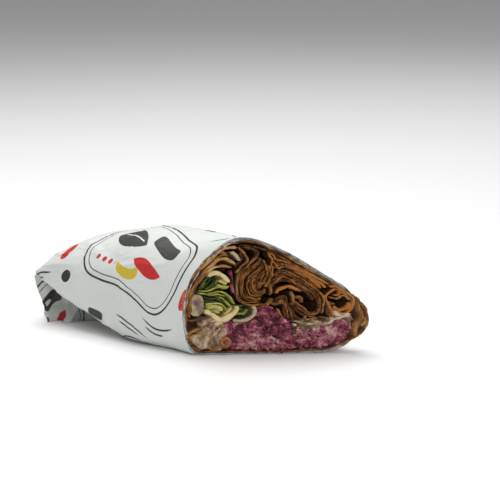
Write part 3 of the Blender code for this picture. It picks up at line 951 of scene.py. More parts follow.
class Tree:
    """The node tree of one material."""

    def __init__(self, name: str) -> None:
        """Starts an empty material.

        Args:
            name: The material's name.
        """
        self.material = bpy.data.materials.new(name)
        self.material.use_nodes = True
        self.nodes = self.material.node_tree.nodes
        self.links = self.material.node_tree.links
        self.nodes.clear()

    def node(self, kind: str, settings: dict, inputs: dict) -> bpy.types.Node:
        """Makes any node.

        Args:
            kind: The node's type.
            settings: What is set on the node itself. A ramp's stops are under "stops".
            inputs: The value or link of each input socket, by name or number.

        Returns:
            The node.
        """
        made = self.nodes.new(kind)
        for key, value in settings.items():
            if key == "stops":
                ramp = made.color_ramp
                while len(ramp.elements) < len(value):
                    ramp.elements.new(0.5)
                for element, (at, colour) in zip(ramp.elements, value):
                    element.position = at
                    element.color = (*colour, 1)
            else:
                setattr(made, key, value)
        for key, value in inputs.items():
            socket = made.inputs[key]
            if isinstance(value, Value):
                self.links.new(value.socket, socket)
            elif isinstance(value, bpy.types.NodeSocket):
                self.links.new(value, socket)
            elif isinstance(value, tuple) and socket.type == "RGBA":
                socket.default_value = (*value, 1)
            else:
                socket.default_value = value
        return made

    def value(self, kind: str, settings: dict, inputs: dict, output: Union[int, str] = 0) -> Value:
        """Makes a node and gives one of its outputs as a value."""
        return Value(self, self.node(kind, settings, inputs).outputs[output])

    def attribute(self, name: str) -> bpy.types.Node:
        """Reads an attribute of the mesh."""
        return self.node("ShaderNodeAttribute", {"attribute_name": name}, {})

    def number(self, name: str) -> Value:
        """Reads an attribute of the mesh that is one number."""
        return Value(self, self.attribute(name).outputs["Fac"])

    def place(self) -> bpy.types.NodeSocket:
        """The place on the object, in metres."""
        return self.node("ShaderNodeTexCoord", {}, {}).outputs["Object"]

    def noise(self, size: float, detail: float = 3.0, roughness: float = 0.55, warp: float = 0.0) -> Value:
        """Noise from nought to one.

        Args:
            size: The size of its patches in millimetres.
            detail: How many finer layers it has.
            roughness: How strong those are.
            warp: How far it is distorted.

        Returns:
            The value.
        """
        look = {"Scale": 1 / (size * MM), "Detail": detail, "Roughness": roughness, "Distortion": warp}
        return self.value("ShaderNodeTexNoise", {}, {"Vector": self.place(), **look})

    def mix(self, mask: Number, first: Colour, second: Colour, blend: str = "MIX") -> bpy.types.NodeSocket:
        """Mixes two colours, with the second where the mask is one."""
        settings = {"data_type": "RGBA", "blend_type": blend}
        return self.node("ShaderNodeMix", settings, {0: mask, 6: first, 7: second}).outputs[2]

    def behind_edge(self, colour: Colour, inner: float, dark: Triple) -> bpy.types.NodeSocket:
        """Darkens a colour away from the cut, where the edge value is nought, but for the inner share: painted
        shade on the sides of the layers and in the gaps behind them.
        """
        return self.mix((1 - self.number("edge")) * (1 - inner), colour, dark)

    def ramp(self, at: Value, stops: Stops) -> bpy.types.NodeSocket:
        """A colour from a row of stops."""
        return self.node("ShaderNodeValToRGB", {"stops": stops}, {"Fac": at}).outputs["Color"]

    def bump(self, height: Value, distance: float) -> bpy.types.NodeSocket:
        """A normal from a height of nought to one, this many millimetres high."""
        inputs = {"Height": height, "Distance": distance * MM, "Strength": 1.0}
        return self.node("ShaderNodeBump", {}, inputs).outputs["Normal"]

    def finish(self, colour: Colour, roughness: Number, normal: Optional[bpy.types.NodeSocket] = None,
               **uniform: Union[float, tuple]) -> Material:
        """Joins the surface to the output.

        Args:
            colour: The base colour.
            roughness: The roughness.
            normal: The normal, if it isn't the mesh's own.
            **uniform: Other sockets of the shader, with words joined by underscores, as plain numbers.

        Returns:
            The material.
        """
        inputs = {"Base Color": colour, "Roughness": roughness}
        inputs |= {key.replace("_", " "): value for key, value in uniform.items()}
        if normal:
            inputs["Normal"] = normal
        shader = self.node("ShaderNodeBsdfPrincipled", {}, inputs)
        self.node("ShaderNodeOutputMaterial", {}, {"Surface": shader.outputs["BSDF"]})
        return self.material


@dataclass(frozen=True)
class MeatFinish:
    """Thin slices of roasted meat: dark crust, paler cut edges, an oily gloss and some spicy sauce. Behind the
    cut edges the slices turn nearly black: partly the darker crust, partly painted shade in the gaps and the
    hollow.
    """

    name: str = "roast_meat"
    dark: Triple = (0.028, 0.009, 0.002)
    middle: Triple = (0.124, 0.043, 0.009)
    pale: Triple = (0.45, 0.205, 0.058)
    orange: Triple = (0.44, 0.135, 0.022)
    inner: float = 0.05

    def material(self) -> Material:
        """Makes the material.

        Returns:
            The material.
        """
        tree = Tree(self.name)
        tint = tree.number("tint")
        fibres = tree.noise(0.9, 4, 0.65, 0.4)
        patches = tree.noise(5.0, 3, 0.6)
        shade = (patches * 1.2 + tint * 0.8 + fibres * 1.6 - 1.36).clamped()
        colour = tree.ramp(shade, ((0.0, self.dark), (0.40, self.middle), (1.0, self.pale)))
        sauce = (tree.noise(8.0, 2, 0.5) * 0.55 + tint.smooth(0.85, 1.0) * 0.6).smooth(0.52, 0.9)
        colour = tree.mix(sauce * 0.75, colour, self.orange)
        # Painted shade: away from the cut the meat goes nearly black.
        colour = tree.behind_edge(colour, self.inner, dimmed(self.dark, 0.15))
        height = fibres * 0.6 + tree.noise(0.35, 2, 0.5) * 0.4
        roughness = (0.62 - fibres * 0.26 - sauce * 0.1 + (1 - tree.number("edge")) * 0.4).clamped()
        return tree.finish(colour, roughness, tree.bump(height, 0.3), Specular_IOR_Level=0.14)


@dataclass(frozen=True)
class BreadFinish:
    """Thin griddled flatbread: golden brown faces with darker blisters, and paler edges where it is cut. Behind
    the cut it is darker still: painted shade in the gaps between the layers.
    """

    name: str = "flatbread"
    scorched: Triple = (0.045, 0.017, 0.005)
    brown: Triple = (0.165, 0.061, 0.015)
    golden: Triple = (0.38, 0.182, 0.050)
    crumb: Triple = (0.55, 0.345, 0.14)
    inner: float = 0.25

    def material(self) -> Material:
        """Makes the material.

        Returns:
            The material.
        """
        tree = Tree(self.name)
        tint = tree.number("tint")
        grain = tree.noise(0.9, 4, 0.65)
        patches = tree.noise(4.5, 3, 0.6)
        shade = (patches + tint * 0.85 + grain * 0.7 - 0.85).clamped()
        stops = ((0.0, self.scorched), (0.32, self.brown), (0.68, self.golden), (1.0, self.crumb))
        colour = tree.ramp(shade, stops)
        # Painted shade behind the cut edges.
        colour = tree.behind_edge(colour, self.inner, dimmed(self.scorched, 0.6))
        height = grain * 0.5 + tree.noise(2.2, 2, 0.5) * 0.5
        roughness = (0.75 - grain * 0.2).clamped()
        return tree.finish(colour, roughness, tree.bump(height, 0.35), Specular_IOR_Level=0.25)


@dataclass(frozen=True)
class MoistFinish:
    """Moist food: a row of tones over a tint and noise, a soft gloss, and some light that goes through it.

    Each noise has its strength and what Tree.noise takes. The first one is also the relief.
    """

    name: str
    tones: Stops
    noises: Noises
    tint: float = 0.8
    start: float = 0.0
    roughness: Pair = (0.36, 0.14)
    relief: float = 0.35
    gloss: float = 0.45
    soft: float = 0.15
    reach: Triple = (0.003, 0.003, 0.0015)
    stain: Optional[Triple] = None
    stain_noise: Triple = (3.4, 3.0, 0.6)
    # hollow is the colour that the sides behind the cut are darkened towards, and inner the share that stays:
    # painted shade in the gaps between pieces.
    hollow: Optional[Triple] = None
    inner: float = 0.1

    def material(self) -> Material:
        """Makes the material.

        Returns:
            The material.
        """
        tree = Tree(self.name)
        shade = tree.number("tint") * self.tint + self.start
        fields = [tree.noise(*values) for _, values in self.noises]
        for (strength, _), field in zip(self.noises, fields):
            shade = shade + (field - 0.5) * strength
        colour = tree.ramp(shade.clamped(), self.tones)
        if self.stain:
            colour = tree.mix(tree.noise(*self.stain_noise).smooth(0.5, 0.75) * 0.5, colour, self.stain)
        # Painted shade behind the cut edges.
        if self.hollow:
            colour = tree.behind_edge(colour, self.inner, self.hollow)
        most, less = self.roughness
        return tree.finish(
            colour, (most - fields[0] * less).clamped(), tree.bump(fields[0], self.relief),
            Specular_IOR_Level=self.gloss, Subsurface_Weight=self.soft, Subsurface_Radius=self.reach,
            Subsurface_Scale=SOFT_SCALE,
        )


@dataclass(frozen=True)
class LeafFinish(MoistFinish):
    """Lettuce: dark green blade, yellow-green edges and pale, faintly ribbed stalk."""

    name: str = "lettuce_leaf"
    tones: Stops = (
        (0.0, (0.012, 0.021, 0.004)), (0.3, (0.075, 0.105, 0.013)), (0.62, (0.42, 0.42, 0.065)),
        (1.0, (0.74, 0.57, 0.28)),
    )
    noises: Noises = ((0.5, (1.6, 3, 0.6, 1.2)),)
    tint: float = 1.0
    roughness: Pair = (0.42, 0.12)
    relief: float = 0.4
    gloss: float = 0.4
    soft: float = 0.08
    reach: Triple = (0.002, 0.003, 0.001)
    stain: Triple = (0.22, 0.14, 0.055)
    # Darkest green behind the cut: painted shade.
    hollow: Triple = (0.012, 0.021, 0.004)
    inner: float = 0.4


@dataclass(frozen=True)
class SlawFinish(MoistFinish):
    """Red cabbage in thin dressing: from deep wine red through pink to a greyish cream."""

    name: str = "cabbage_slaw"
    tones: Stops = (
        (0.0, (0.040, 0.005, 0.010)), (0.3, (0.20, 0.016, 0.048)), (0.62, (0.40, 0.125, 0.155)),
        (1.0, (0.55, 0.40, 0.33)),
    )
    noises: Noises = ((1.2, (2.0, 4, 0.58, 0.8)), (1.8, (4.5, 3, 0.5)))
    start: float = 0.04
    gloss: float = 0.35
    soft: float = 0.1
    reach: Triple = (0.003, 0.0012, 0.0014)


@dataclass(frozen=True)
class DressingFinish(MoistFinish):
    """Garlic yoghurt dressing, stained mauve and tan by what it lies against."""

    name: str = "yoghurt_dressing"
    tones: Stops = ((0.0, (0.075, 0.030, 0.012)), (0.5, (0.32, 0.190, 0.105)), (1.0, (0.64, 0.48, 0.34)))
    noises: Noises = ((1.8, (3.6, 4, 0.6, 1.2)),)
    tint: float = 0.7
    start: float = 0.14
    relief: float = 0.45
    reach: Triple = (0.004, 0.0025, 0.002)


@dataclass(frozen=True)
class OnionFinish(MoistFinish):
    """Pale, moist onion and stalk, with some mauve stain from the cabbage."""

    name: str = "pale_onion"
    tones: Stops = ((0.0, (0.13, 0.068, 0.078)), (0.45, (0.31, 0.22, 0.115)), (1.0, (0.50, 0.40, 0.24)))
    noises: Noises = ((1.1, (2.4, 3, 0.6, 0.5)),)
    start: float = 0.1
    roughness: Pair = (0.36, 0.1)
    relief: float = 0.25
    # Dark olive behind the cut: painted shade.
    hollow: Triple = (0.050, 0.042, 0.018)


@dataclass(frozen=True)
class PepperFinish(MoistFinish):
    """A slice of small pickled pepper."""

    name: str = "pickled_pepper"
    tones: Stops = ((0.0, (0.085, 0.022, 0.006)), (1.0, (0.36, 0.125, 0.030)))
    noises: Noises = ((0.6, (1.1, 3, 0.6)),)
    tint: float = 1.0
    roughness: Pair = (0.4, 0.15)
    relief: float = 0.15
    gloss: float = 0.5
    soft: float = 0.0


@dataclass(frozen=True)
class PaperFinish:
    """Thin white wrapping paper with a simple repeating print of leaves, dots and outlines.

    Each form of the print has its centre, its half sizes and its power: two for an oval, more for a box.
    """

    name: str = "printed_paper"
    white: Triple = (0.675, 0.70, 0.67)
    ink: Triple = (0.022, 0.023, 0.020)
    charcoal: Triple = (0.040, 0.041, 0.036)
    red: Triple = (0.52, 0.020, 0.020)
    yellow: Triple = (0.60, 0.45, 0.03)
    shadow: Triple = (0.36, 0.36, 0.34)
    grease: Triple = (0.55, 0.33, 0.16)
    turn: float = math.radians(-20)
    repeat: Pair = (104.0, 74.0)
    row_shift: float = 0.45
    middle: Pair = (78.0, 25.0)

    PLATE = ((0, 0), (40, 25), 17)
    PLATE_LINES = ((0, 1.2), (3.4, 0.6))
    LEAF = (((13, -20), (23, 23), 2), ((13, 11), (23, 23), 2))
    STEM = (0.06, 5.2, 0.9)
    STEM_FIELD = ((13, -4.5), (13, 6), 2)
    WEDGE = (((-17, -12), (11, 4.4), 5),)
    RED_LEAF = (((-12, -8), (17, 17), 2), ((-16, 17), (17, 17), 2))
    SUN = ((-1, 12), (9.5, 7), 2)
    SUN_SHADE = ((2, 6.5), (10.5, 7), 2)
    DOT = ((3, 13.5), (1.7, 1.7), 2)
    DOT_STEP = 6.0
    DOT_FIELD = ((19, 13.5), (9, 4), 6)
    SMALL_RED = ((-49, 16), (3.4, 6.2), 2.6)
    SMALL_INK = (
        ((30, -33), (11, 0.5), 8), ((31, -30), (7, 0.5), 8), ((-34, 31), (10, 0.5), 8),
        ((-33, 34), (6, 0.5), 8), ((45, 31), (3.6, 3.6), 2), ((-44, -29), (6.5, 3.0), 4),
    )

    def cell(self, tree: Tree) -> tuple[Value, Value]:
        """The place within one repeat of the print.

        Args:
            tree: The material's tree.

        Returns:
            How far along and up it is from the repeat's middle, in millimetres.
        """
        split = tree.node("ShaderNodeSeparateXYZ", {}, {"Vector": tree.attribute("sheet").outputs["Vector"]})
        along = Value(tree, split.outputs[0]) - self.middle[0]
        around = Value(tree, split.outputs[1]) - self.middle[1]
        cos, sin = math.cos(self.turn), math.sin(self.turn)
        wide, high = self.repeat
        x = along * cos + around * sin + 0.5 * wide
        y = around * cos - along * sin + 0.5 * high
        x = x + (y / high).maths("FLOOR") * (self.row_shift * wide)
        return ((x / wide).maths("FRACT") - 0.5) * wide, ((y / high).maths("FRACT") - 0.5) * high

    @staticmethod
    def round_form(x: Value, y: Value, centre: Pair, half: Pair, power: float) -> Value:
        """How far outside a round form a place is.

        Args:
            x: How far along the place is.
            y: How far up it is.
            centre: The form's centre.
            half: Its half sizes.
            power: Two for an oval, and more the squarer it is.

        Returns:
            Nought on its edge and less than nought inside, in rough millimetres.
        """
        across = ((x - centre[0]) / half[0]).maths("ABSOLUTE") ** power
        up = ((y - centre[1]) / half[1]).maths("ABSOLUTE") ** power
        return ((across + up) ** (1 / power) - 1) * min(half)

    @staticmethod
    def box_form(x: Value, y: Value, centre: Pair, half: Pair, radius: float) -> Value:
        """How far outside a box with rounded corners a place is.

        Args:
            x: How far along the place is.
            y: How far up it is.
            centre: The box's centre.
            half: Its half sizes.
            radius: The radius of its corners.

        Returns:
            Nought on its edge and less than nought inside, in millimetres.
        """
        across = ((x - centre[0]).maths("ABSOLUTE") - (half[0] - radius)).maths("MAXIMUM", 0.0)
        up = ((y - centre[1]).maths("ABSOLUTE") - (half[1] - radius)).maths("MAXIMUM", 0.0)
        return (across * across + up * up) ** 0.5 - radius

    def overlap(self, x: Value, y: Value, forms: Forms) -> Value:
        """The part that round forms share.

        Args:
            x: How far along the place is.
            y: How far up it is.
            forms: The forms.

        Returns:
            How far outside that part the place is.
        """
        shared = self.round_form(x, y, *forms[0])
        for form in forms[1:]:
            shared = shared.maths("MAXIMUM", self.round_form(x, y, *form))
        return shared

    @staticmethod
    def fill(distance: Value) -> Value:
        """A field of ink inside a form."""
        return 1 - distance.smooth(-0.12, 0.12)

    def stroke(self, distance: Value, width: float) -> Value:
        """A line of ink along a form's edge."""
        return self.fill(distance.maths("ABSOLUTE") - width / 2)

    def printed(self, tree: Tree, colour: Colour) -> Colour:
        """Puts the print on the paper.

        Args:
            tree: The material's tree.
            colour: The plain paper's colour.

        Returns:
            The printed paper's colour.
        """
        x, y = self.cell(tree)
        plate = self.box_form(x, y, *self.PLATE)
        slope, rise, width = self.STEM
        stem = self.stroke(y + x * slope + rise, width) * self.fill(self.round_form(x, y, *self.STEM_FIELD))
        sun = self.round_form(x, y, *self.SUN).maths("MAXIMUM", self.round_form(x, y, *self.SUN_SHADE) * -1)
        row = (x / self.DOT_STEP).maths("FRACT") * self.DOT_STEP
        dots = self.round_form(row, y, *self.DOT).maths("MAXIMUM", self.round_form(x, y, *self.DOT_FIELD))
        ink = sum(self.stroke(plate + inset, width) for inset, width in self.PLATE_LINES)
        ink = sum((self.fill(self.round_form(x, y, *form)) for form in self.SMALL_INK), ink)
        wear = tree.noise(1.2, 3, 0.7).smooth(0.18, 0.34)
        for mask, tone in (
            (self.fill(self.overlap(x, y, self.LEAF)) * (1 - stem), self.charcoal),
            (self.fill(self.overlap(x, y, self.WEDGE)), self.charcoal),
            (self.fill(sun), self.yellow),
            (self.fill(self.overlap(x, y, self.RED_LEAF)), self.red),
            ((self.fill(dots) + self.fill(self.round_form(x, y, *self.SMALL_RED))).clamped(), self.red),
            (ink.clamped(), self.ink),
        ):
            colour = tree.mix(mask * wear, colour, tone)
        return colour

    def material(self) -> Material:
        """Makes the material. Its tint is nought on the outer side, a half where shade is painted on, and one
        on the inner side.

        Returns:
            The material.
        """
        tree = Tree(self.name)
        tint = tree.number("tint")
        grain = tree.noise(0.25, 2, 0.6)
        colour = tree.mix(tree.noise(18.0, 3, 0.5) * 0.5, self.white, dimmed(self.white, 0.93))
        colour = self.printed(tree, colour)
        # Painted shade: a tint up to a half multiplies the paper by a grey, darkest under the roll's lower
        # edge.
        colour = tree.mix(tint.smooth(0.0, 0.5) * 0.85, colour, self.shadow, "MULTIPLY")
        inner_side = tint.smooth(0.5, 1.0)
        colour = tree.mix(inner_side, colour, dimmed(self.white, 0.8))
        # Dark marks on the inner side, where the sheet's turns show at the cut: partly ink, partly painted
        # shade between the turns.
        smudge = tree.noise(4.0, 3, 0.6).smooth(0.54, 0.64) * inner_side
        colour = tree.mix(smudge * 0.75, colour, self.ink)
        stain = tree.noise(7.0, 3, 0.6).smooth(0.58, 0.75) * tree.number("edge")
        colour = tree.mix(stain * 0.55, colour, self.grease)
        height = tree.noise(7.0, 4, 0.5) * 0.8 + grain * 0.05
        return tree.finish(colour, 0.46 + grain * 0.12, tree.bump(height, 0.35), Specular_IOR_Level=0.4)


# The sandwich


class Slot(Enum):
    """The record's material slots."""

    PAPER = "paper"
    BREAD = "bread"
    MEAT = "meat"
    LETTUCE = "lettuce"
    ONION = "onion"
    CABBAGE = "cabbage"
    YOGHURT = "yoghurt"
    PEPPER = "pepper"


@dataclass
class PaperWrap:
    """The printed sheet round the roll, its raw edges at the cut, and its folded and tucked end."""

    wall: float = 0.3
    around: int = 260
    along: int = 190
    cut_rows: int = 26
    cut_zone: float = 14.0
    inner_step: int = 6
    inner_to: float = 146.0
    seam: float = 0.001
    most_out: float = 0.3
    lying_to: float = 2.5
    crease_zone: Pair = (20.0, 140.0)
    last_zone: Pair = (122.0, 152.0)
    plain_to: float = 10.0
    puff: Triple = (2.8, 128.0, 21.0)
    puff_zone: Pair = (20.0, 40.0)
    end_from: float = 143.0
    end_at: float = 157.3
    end_shut: Pair = (0.99, 2.6)
    end_narrow: float = 0.015
    lip: float = 28.9
    bare: float = 4.0
    bare_zone: Pair = (36.0, 46.0)
    ragged_to: float = 3.0
    greasy_to: float = 6.0
    edge_shells: tuple[Pair, ...] = ((0.1, 0.3), (0.6, 0.8), (1.1, 1.3))
    edge_depth: float = 8.0
    edge_rows: int = 10
    edge_print: Triple = (17.0, 23.0, 1.7)
    tuck_floor: Line = (
        (-149.5, -26.5), (-146, -18.5), (-139.5, -21.5), (-136, -13), (-131, -7.5), (-121, -6), (-112, 3),
        (-113, 15), (-124, 16), (-132, 22), (-138, 17.5), (-146, 24.5), (-151, 15), (-147, 5), (-151.5, -6),
        (-148, -14),
    )
    tuck_upper: Line = (
        (-157.5, -29), (-149, -26.5), (-140, -24), (-132, -19), (-124, -15), (-116, -11), (-110, 2), (-112, 16),
        (-122, 20), (-132, 23), (-142, 25), (-156.5, 28.5), (-157.5, 16), (-157, 6), (-158, -6), (-157.5, -16),
    )
    tuck_top: float = 28.0
    tuck_rows: int = 54
    tuck_points: int = 300
    tuck_start: Pair = (-112.0, 16.0)
    tuck_corner: Pair = (-157.5, -29.0)
    tuck_end: float = -157.6
    tuck_flare: float = 1.3
    tuck_belly: Triple = (0.08, 1.05, 0.6)
    tuck_rim: Pair = (1.2, 0.93)
    # Painted shade on the tucked end: tuck_shade all over it, rising to hidden_shade under the roll's lower
    # edge, in the zone that hidden_zone and hidden_lean give.
    tuck_shade: float = 0.3
    hidden_shade: float = 0.5
    hidden_lean: float = 0.9
    hidden_zone: Pair = (-128.0, -112.0)
    tuck_wedge: Pair = (-17.0, -12.0)
    tuck_print: Pair = (6.0, 13.0)
    print_turn: float = math.radians(217)
    print_scale: float = 1.35

    SOFT = ((0.3, 22.0, 21),)
    SOFT_STRETCH = (0.5, 1.0, 1.0)
    SETTLED = 0.55
    RIDGE_HEIGHT = (0.35, 0.7)
    FINE_HEIGHT = (0.12, 0.3, 0.5)
    RAGGED = ((0.35, 2.3, 4), (0.3, 0.9, 6))
    EDGE_WAVE = ((0.22, 2.6, 30),)
    EDGE_FRONT = ((0.6, 3.4, 12), (0.4, 1.0, 15))
    EDGE_STANDS = 0.15
    EDGE_INSET = (0.55, 0.35, 0.7)
    EDGE_RISE = 45.0
    EDGE_FLOOR = (0.25, 0.3)
    TUCK_HEIGHTS = (2.4, 0.4, 1.5)
    RIDGES = Folds(17.0, 5, 3.2, (0.42, 1.2, 1.2))
    FINE_RIDGES = Folds(8.0, 8, 3.2, (0.7, 1.3, 1.3))
    TUCK_FOLDS = Folds(13.0, 40, 2.6, (1.0, 1.0, 0.6), -0.35)
    TUCK_CRUMPLE = Folds(6.0, 44, 2.8, least=-0.2)
    TUCK_SLANT = ((0.8, 0.35, 0.3), (-0.4, 0.9, 0.25), (0.45, -0.5, 0.75))

    def creases(self, s: Points, rings: Points) -> Points:
        """How far the sheet stands in or out of its form, more so near its folded end.

        Args:
            s: How far each section is behind the cut.
            rings: The sections.

        Returns:
            One measure for each point of the sections.
        """
        at = np.concatenate([np.broadcast_to(s[:, None, None], rings.shape[:2] + (1,)), rings], -1)
        at[..., 0] += 0.5 * at[..., 2]
        towards_end = ramp(s, *self.crease_zone)[:, None]
        last = ramp(s, *self.last_zone)[:, None]
        low, more = self.RIDGE_HEIGHT
        lift = uneven(at * self.SOFT_STRETCH, self.SOFT, 0) - self.SETTLED
        lift = lift + (low + more * towards_end) * self.RIDGES.at(at)
        low, more, most = self.FINE_HEIGHT
        lift = lift + (low + more * towards_end + most * last) * self.FINE_RIDGES.at(at) - most * last
        return lift * (1 - 0.9 * ramp(s, self.plain_to, 0)[:, None])

    def set_back(self, ring: Points) -> Points:
        """How far the sheet's edge stands back from the cut: more at the right, where the bread shows."""
        return self.bare * ramp(ring[:, 0] / math.sin(CUT.angle), *self.bare_zone) ** 1.5

    def shaped(self, s: Points, outer: Points) -> Points:
        """Gives the roll's sections the sheet's creases, its rise near the end, and its folded end.

        Args:
            s: How far each section is behind the cut.
            outer: The plain sections.

        Returns:
            The sheet's sections.
        """
        middle = (outer.min(1, keepdims=True) + outer.max(1, keepdims=True)) / 2
        way = outer - middle
        way /= np.linalg.norm(way, axis=-1, keepdims=True)
        out = np.minimum(self.creases(s, outer), self.most_out) * ramp(outer[..., 1], 0, self.lying_to)
        moved = outer + way * out[..., None]
        high, back, spread = self.puff
        rise = high * np.exp(-(((s - back) / spread) ** 2))[:, None] * ramp(outer[..., 1], *self.puff_zone)
        moved[..., 1] = np.maximum(moved[..., 1] + rise, 0)
        end = ramp(s, self.end_from, self.end_at)
        share, power = self.end_shut
        fold = np.sqrt(1 - share * end**power)
        centre = moved.mean(1, keepdims=True)
        centre[..., 1] += np.minimum((self.lip - centre[..., 1]) * end[:, None], 0)
        return centre + (moved - centre) * np.stack([1 - self.end_narrow * (1 - fold), fold], -1)[:, None]

    def roll(self, batch: Batch) -> None:
        """Makes the sheet round the roll: one closed wall, open at the cut.

        Args:
            batch: Where it goes.
        """
        turns = np.linspace(-0.5 * math.pi, 1.5 * math.pi - self.seam, self.around)
        near = np.linspace(0, self.cut_zone, self.cut_rows)
        s = np.concatenate([near, np.linspace(self.cut_zone, self.end_at, self.along)[1:]])
        outer = ROLL.sections(s, turns)
        moved = self.shaped(s, outer)
        back = s[:, None] + uneven(outer[0], self.RAGGED, 0)[None] * ramp(s, self.ragged_to, 0)[:, None]
        back = back + self.set_back(outer[0])[None] * ramp(s, self.cut_zone, 0)[:, None]
        grid = ROLL.place(back, moved[..., 0], moved[..., 1])
        sparse = np.arange(self.cut_rows + 2, np.searchsorted(s, self.inner_to), self.inner_step)
        rows = np.append(np.arange(self.cut_rows), sparse)
        inner = shrunk(moved[rows], self.wall)
        inner_grid = ROLL.place(back[rows], inner[..., 0], inner[..., 1])
        measure = np.cumsum(np.linalg.norm(np.diff(moved, axis=1, prepend=moved[:, :1]), axis=-1), axis=1)
        top = np.abs(turns - math.pi / 2).argmin()
        sheet = np.stack([CUT.x - grid[..., 0], measure - measure[:, top:top + 1], np.zeros_like(back)], -1)
        rim = ramp(s, self.greasy_to, 0)[:, None]
        tint = np.concatenate([np.ones((len(rows), 1)), np.zeros((len(s), 1))])
        batch.grid(
            np.concatenate([inner_grid[::-1], grid]), tint, np.concatenate([rim[rows][::-1], rim]),
            sheet=np.concatenate([sheet[rows][::-1], sheet]),
        )

    def raw_edges(self, batch: Batch) -> None:
        """Makes the inner turns of the sheet, which show as thin crinkled edges round the cut.

        Args:
            batch: Where they go.
        """
        turns = np.linspace(0, 2 * math.pi, self.around, endpoint=False)
        s = np.linspace(0, self.edge_depth, self.edge_rows)
        base = ROLL.sections(s, turns)
        first = base[0]
        least, spread, more = self.EDGE_INSET
        spread = spread + more * ramp(first[:, 1], 0, self.EDGE_RISE)[None, :, None]
        floor, floor_rise = self.EDGE_FLOOR
        around = np.concatenate([[0], np.cumsum(np.linalg.norm(np.diff(first, axis=0), axis=1))])
        near = ramp(s, 0.5 * self.edge_depth, 0)[:, None]
        start, apart, stretch = self.edge_print
        for k, shell in enumerate(self.edge_shells):
            skins = []
            wave = uneven(first, self.EDGE_WAVE, k)[None, :, None]
            front = self.EDGE_STANDS + uneven(first, self.EDGE_FRONT, k) + self.set_back(first)
            for inset in shell:
                ring = shrunk(base, least + spread * inset + wave * near[..., None])
                ring[..., 1] = np.maximum(ring[..., 1], floor + inset * floor_rise)
                skins.append(ROLL.place(s[:, None] + front[None] * near, ring[..., 0], ring[..., 1]))
            grid = np.concatenate([skins[1][::-1], skins[0]])
            flat = np.zeros(grid.shape)
            flat[..., 0], flat[..., 1] = start + apart * k, stretch * around
            batch.grid(grid, 1.0, 1.0, loop=True, sheet=flat)

    def tuck_ring(self, line: Line) -> Points:
        """Spreads the same number of points over each ring of the tucked end.

        Args:
            line: The points that the ring goes through.

        Returns:
            The ring.
        """
        ring = smooth_curve(line, 0.6, True)
        at = np.linspace(0, len(ring), self.tuck_points, endpoint=False)
        return read_line(at, np.arange(len(ring) + 1), np.vstack([ring, ring[:1]]))

    def tuck_print_at(self, around: Points, z: Points) -> Points:
        """Where the tucked end's points lie on the flat sheet, so that a dark form of the print shows on it.

        Args:
            around: How far round the end each point is, from its corner.
            z: How high it is.

        Returns:
            The places, as (rows, points in a row, 3).
        """
        across, up = around - self.tuck_print[0], z - self.tuck_print[1]
        cos, sin = math.cos(self.print_turn), math.sin(self.print_turn)
        x = self.print_scale * (across * cos + up * sin) + self.tuck_wedge[0]
        y = self.print_scale * (up * cos - across * sin) + self.tuck_wedge[1]
        finish = PaperFinish()
        cos, sin = math.cos(finish.turn), math.sin(finish.turn)
        return np.stack([x * cos - y * sin + finish.middle[0], x * sin + y * cos + finish.middle[1], 0 * x], -1)

    def tuck(self, batch: Batch) -> None:
        """Makes the end of the sheet, folded down over the roll's end and tucked under it.

        Args:
            batch: Where it goes.
        """
        floor, upper = self.tuck_ring(self.tuck_floor), self.tuck_ring(self.tuck_upper)
        start = int(np.abs(upper - self.tuck_start).sum(1).argmin())
        floor, upper = np.roll(floor, -start, 0), np.roll(upper, -start, 0)
        measure = np.cumsum(np.linalg.norm(np.diff(upper, axis=0, prepend=upper[:1]), axis=1))
        measure -= measure[np.abs(upper - self.tuck_corner).sum(1).argmin()]
        early, stretch, power = self.tuck_belly
        drawn_in, rim_from = self.tuck_rim
        high, fine, sunk = self.TUCK_HEIGHTS
        rows = []
        for share in np.linspace(0, 1, self.tuck_rows):
            ring = floor + (upper - floor) * share**self.tuck_flare
            z = np.full((self.tuck_points, 1), self.tuck_top * share)
            at = np.concatenate([ring, z], 1) @ np.array(self.TUCK_SLANT)
            belly = math.sin(math.pi * min(early + share * stretch, 1)) ** power
            out = belly * (high * self.TUCK_FOLDS.at(at) + fine * self.TUCK_CRUMPLE.at(at) - sunk)
            out = out - drawn_in * ramp(share, rim_from, 1) ** 2
            ring = ring + side_of(ring, True) * out[:, None]
            ring[:, 0] = np.maximum(ring[:, 0], self.tuck_end)
            rows.append(np.concatenate([ring, z], 1))
        rows = np.array(rows)
        # Painted shade: darker on the part of the end that lies under the roll's lower edge.
        hidden = ramp(rows[..., 0] + self.hidden_lean * rows[..., 2], *self.hidden_zone)
        tint = self.tuck_shade + (self.hidden_shade - self.tuck_shade) * hidden
        batch.grid(rows + (CUT.x, 0, 0), tint, 0.0, sheet=self.tuck_print_at(measure[None], rows[..., 2]))

    def build(self, finish: Material) -> None:
        """Makes the wrap's pieces.

        Args:
            finish: The material.
        """
        wrap, tuck = Batch(), Batch()
        self.roll(wrap)
        self.raw_edges(wrap)
        wrap.build("wrap_sheet", finish, ["paper_wrap"], Slot.PAPER.value)
        self.tuck(tuck)
        tuck.build("wrap_tucked_end", finish, ["paper_wrap"], Slot.PAPER.value)


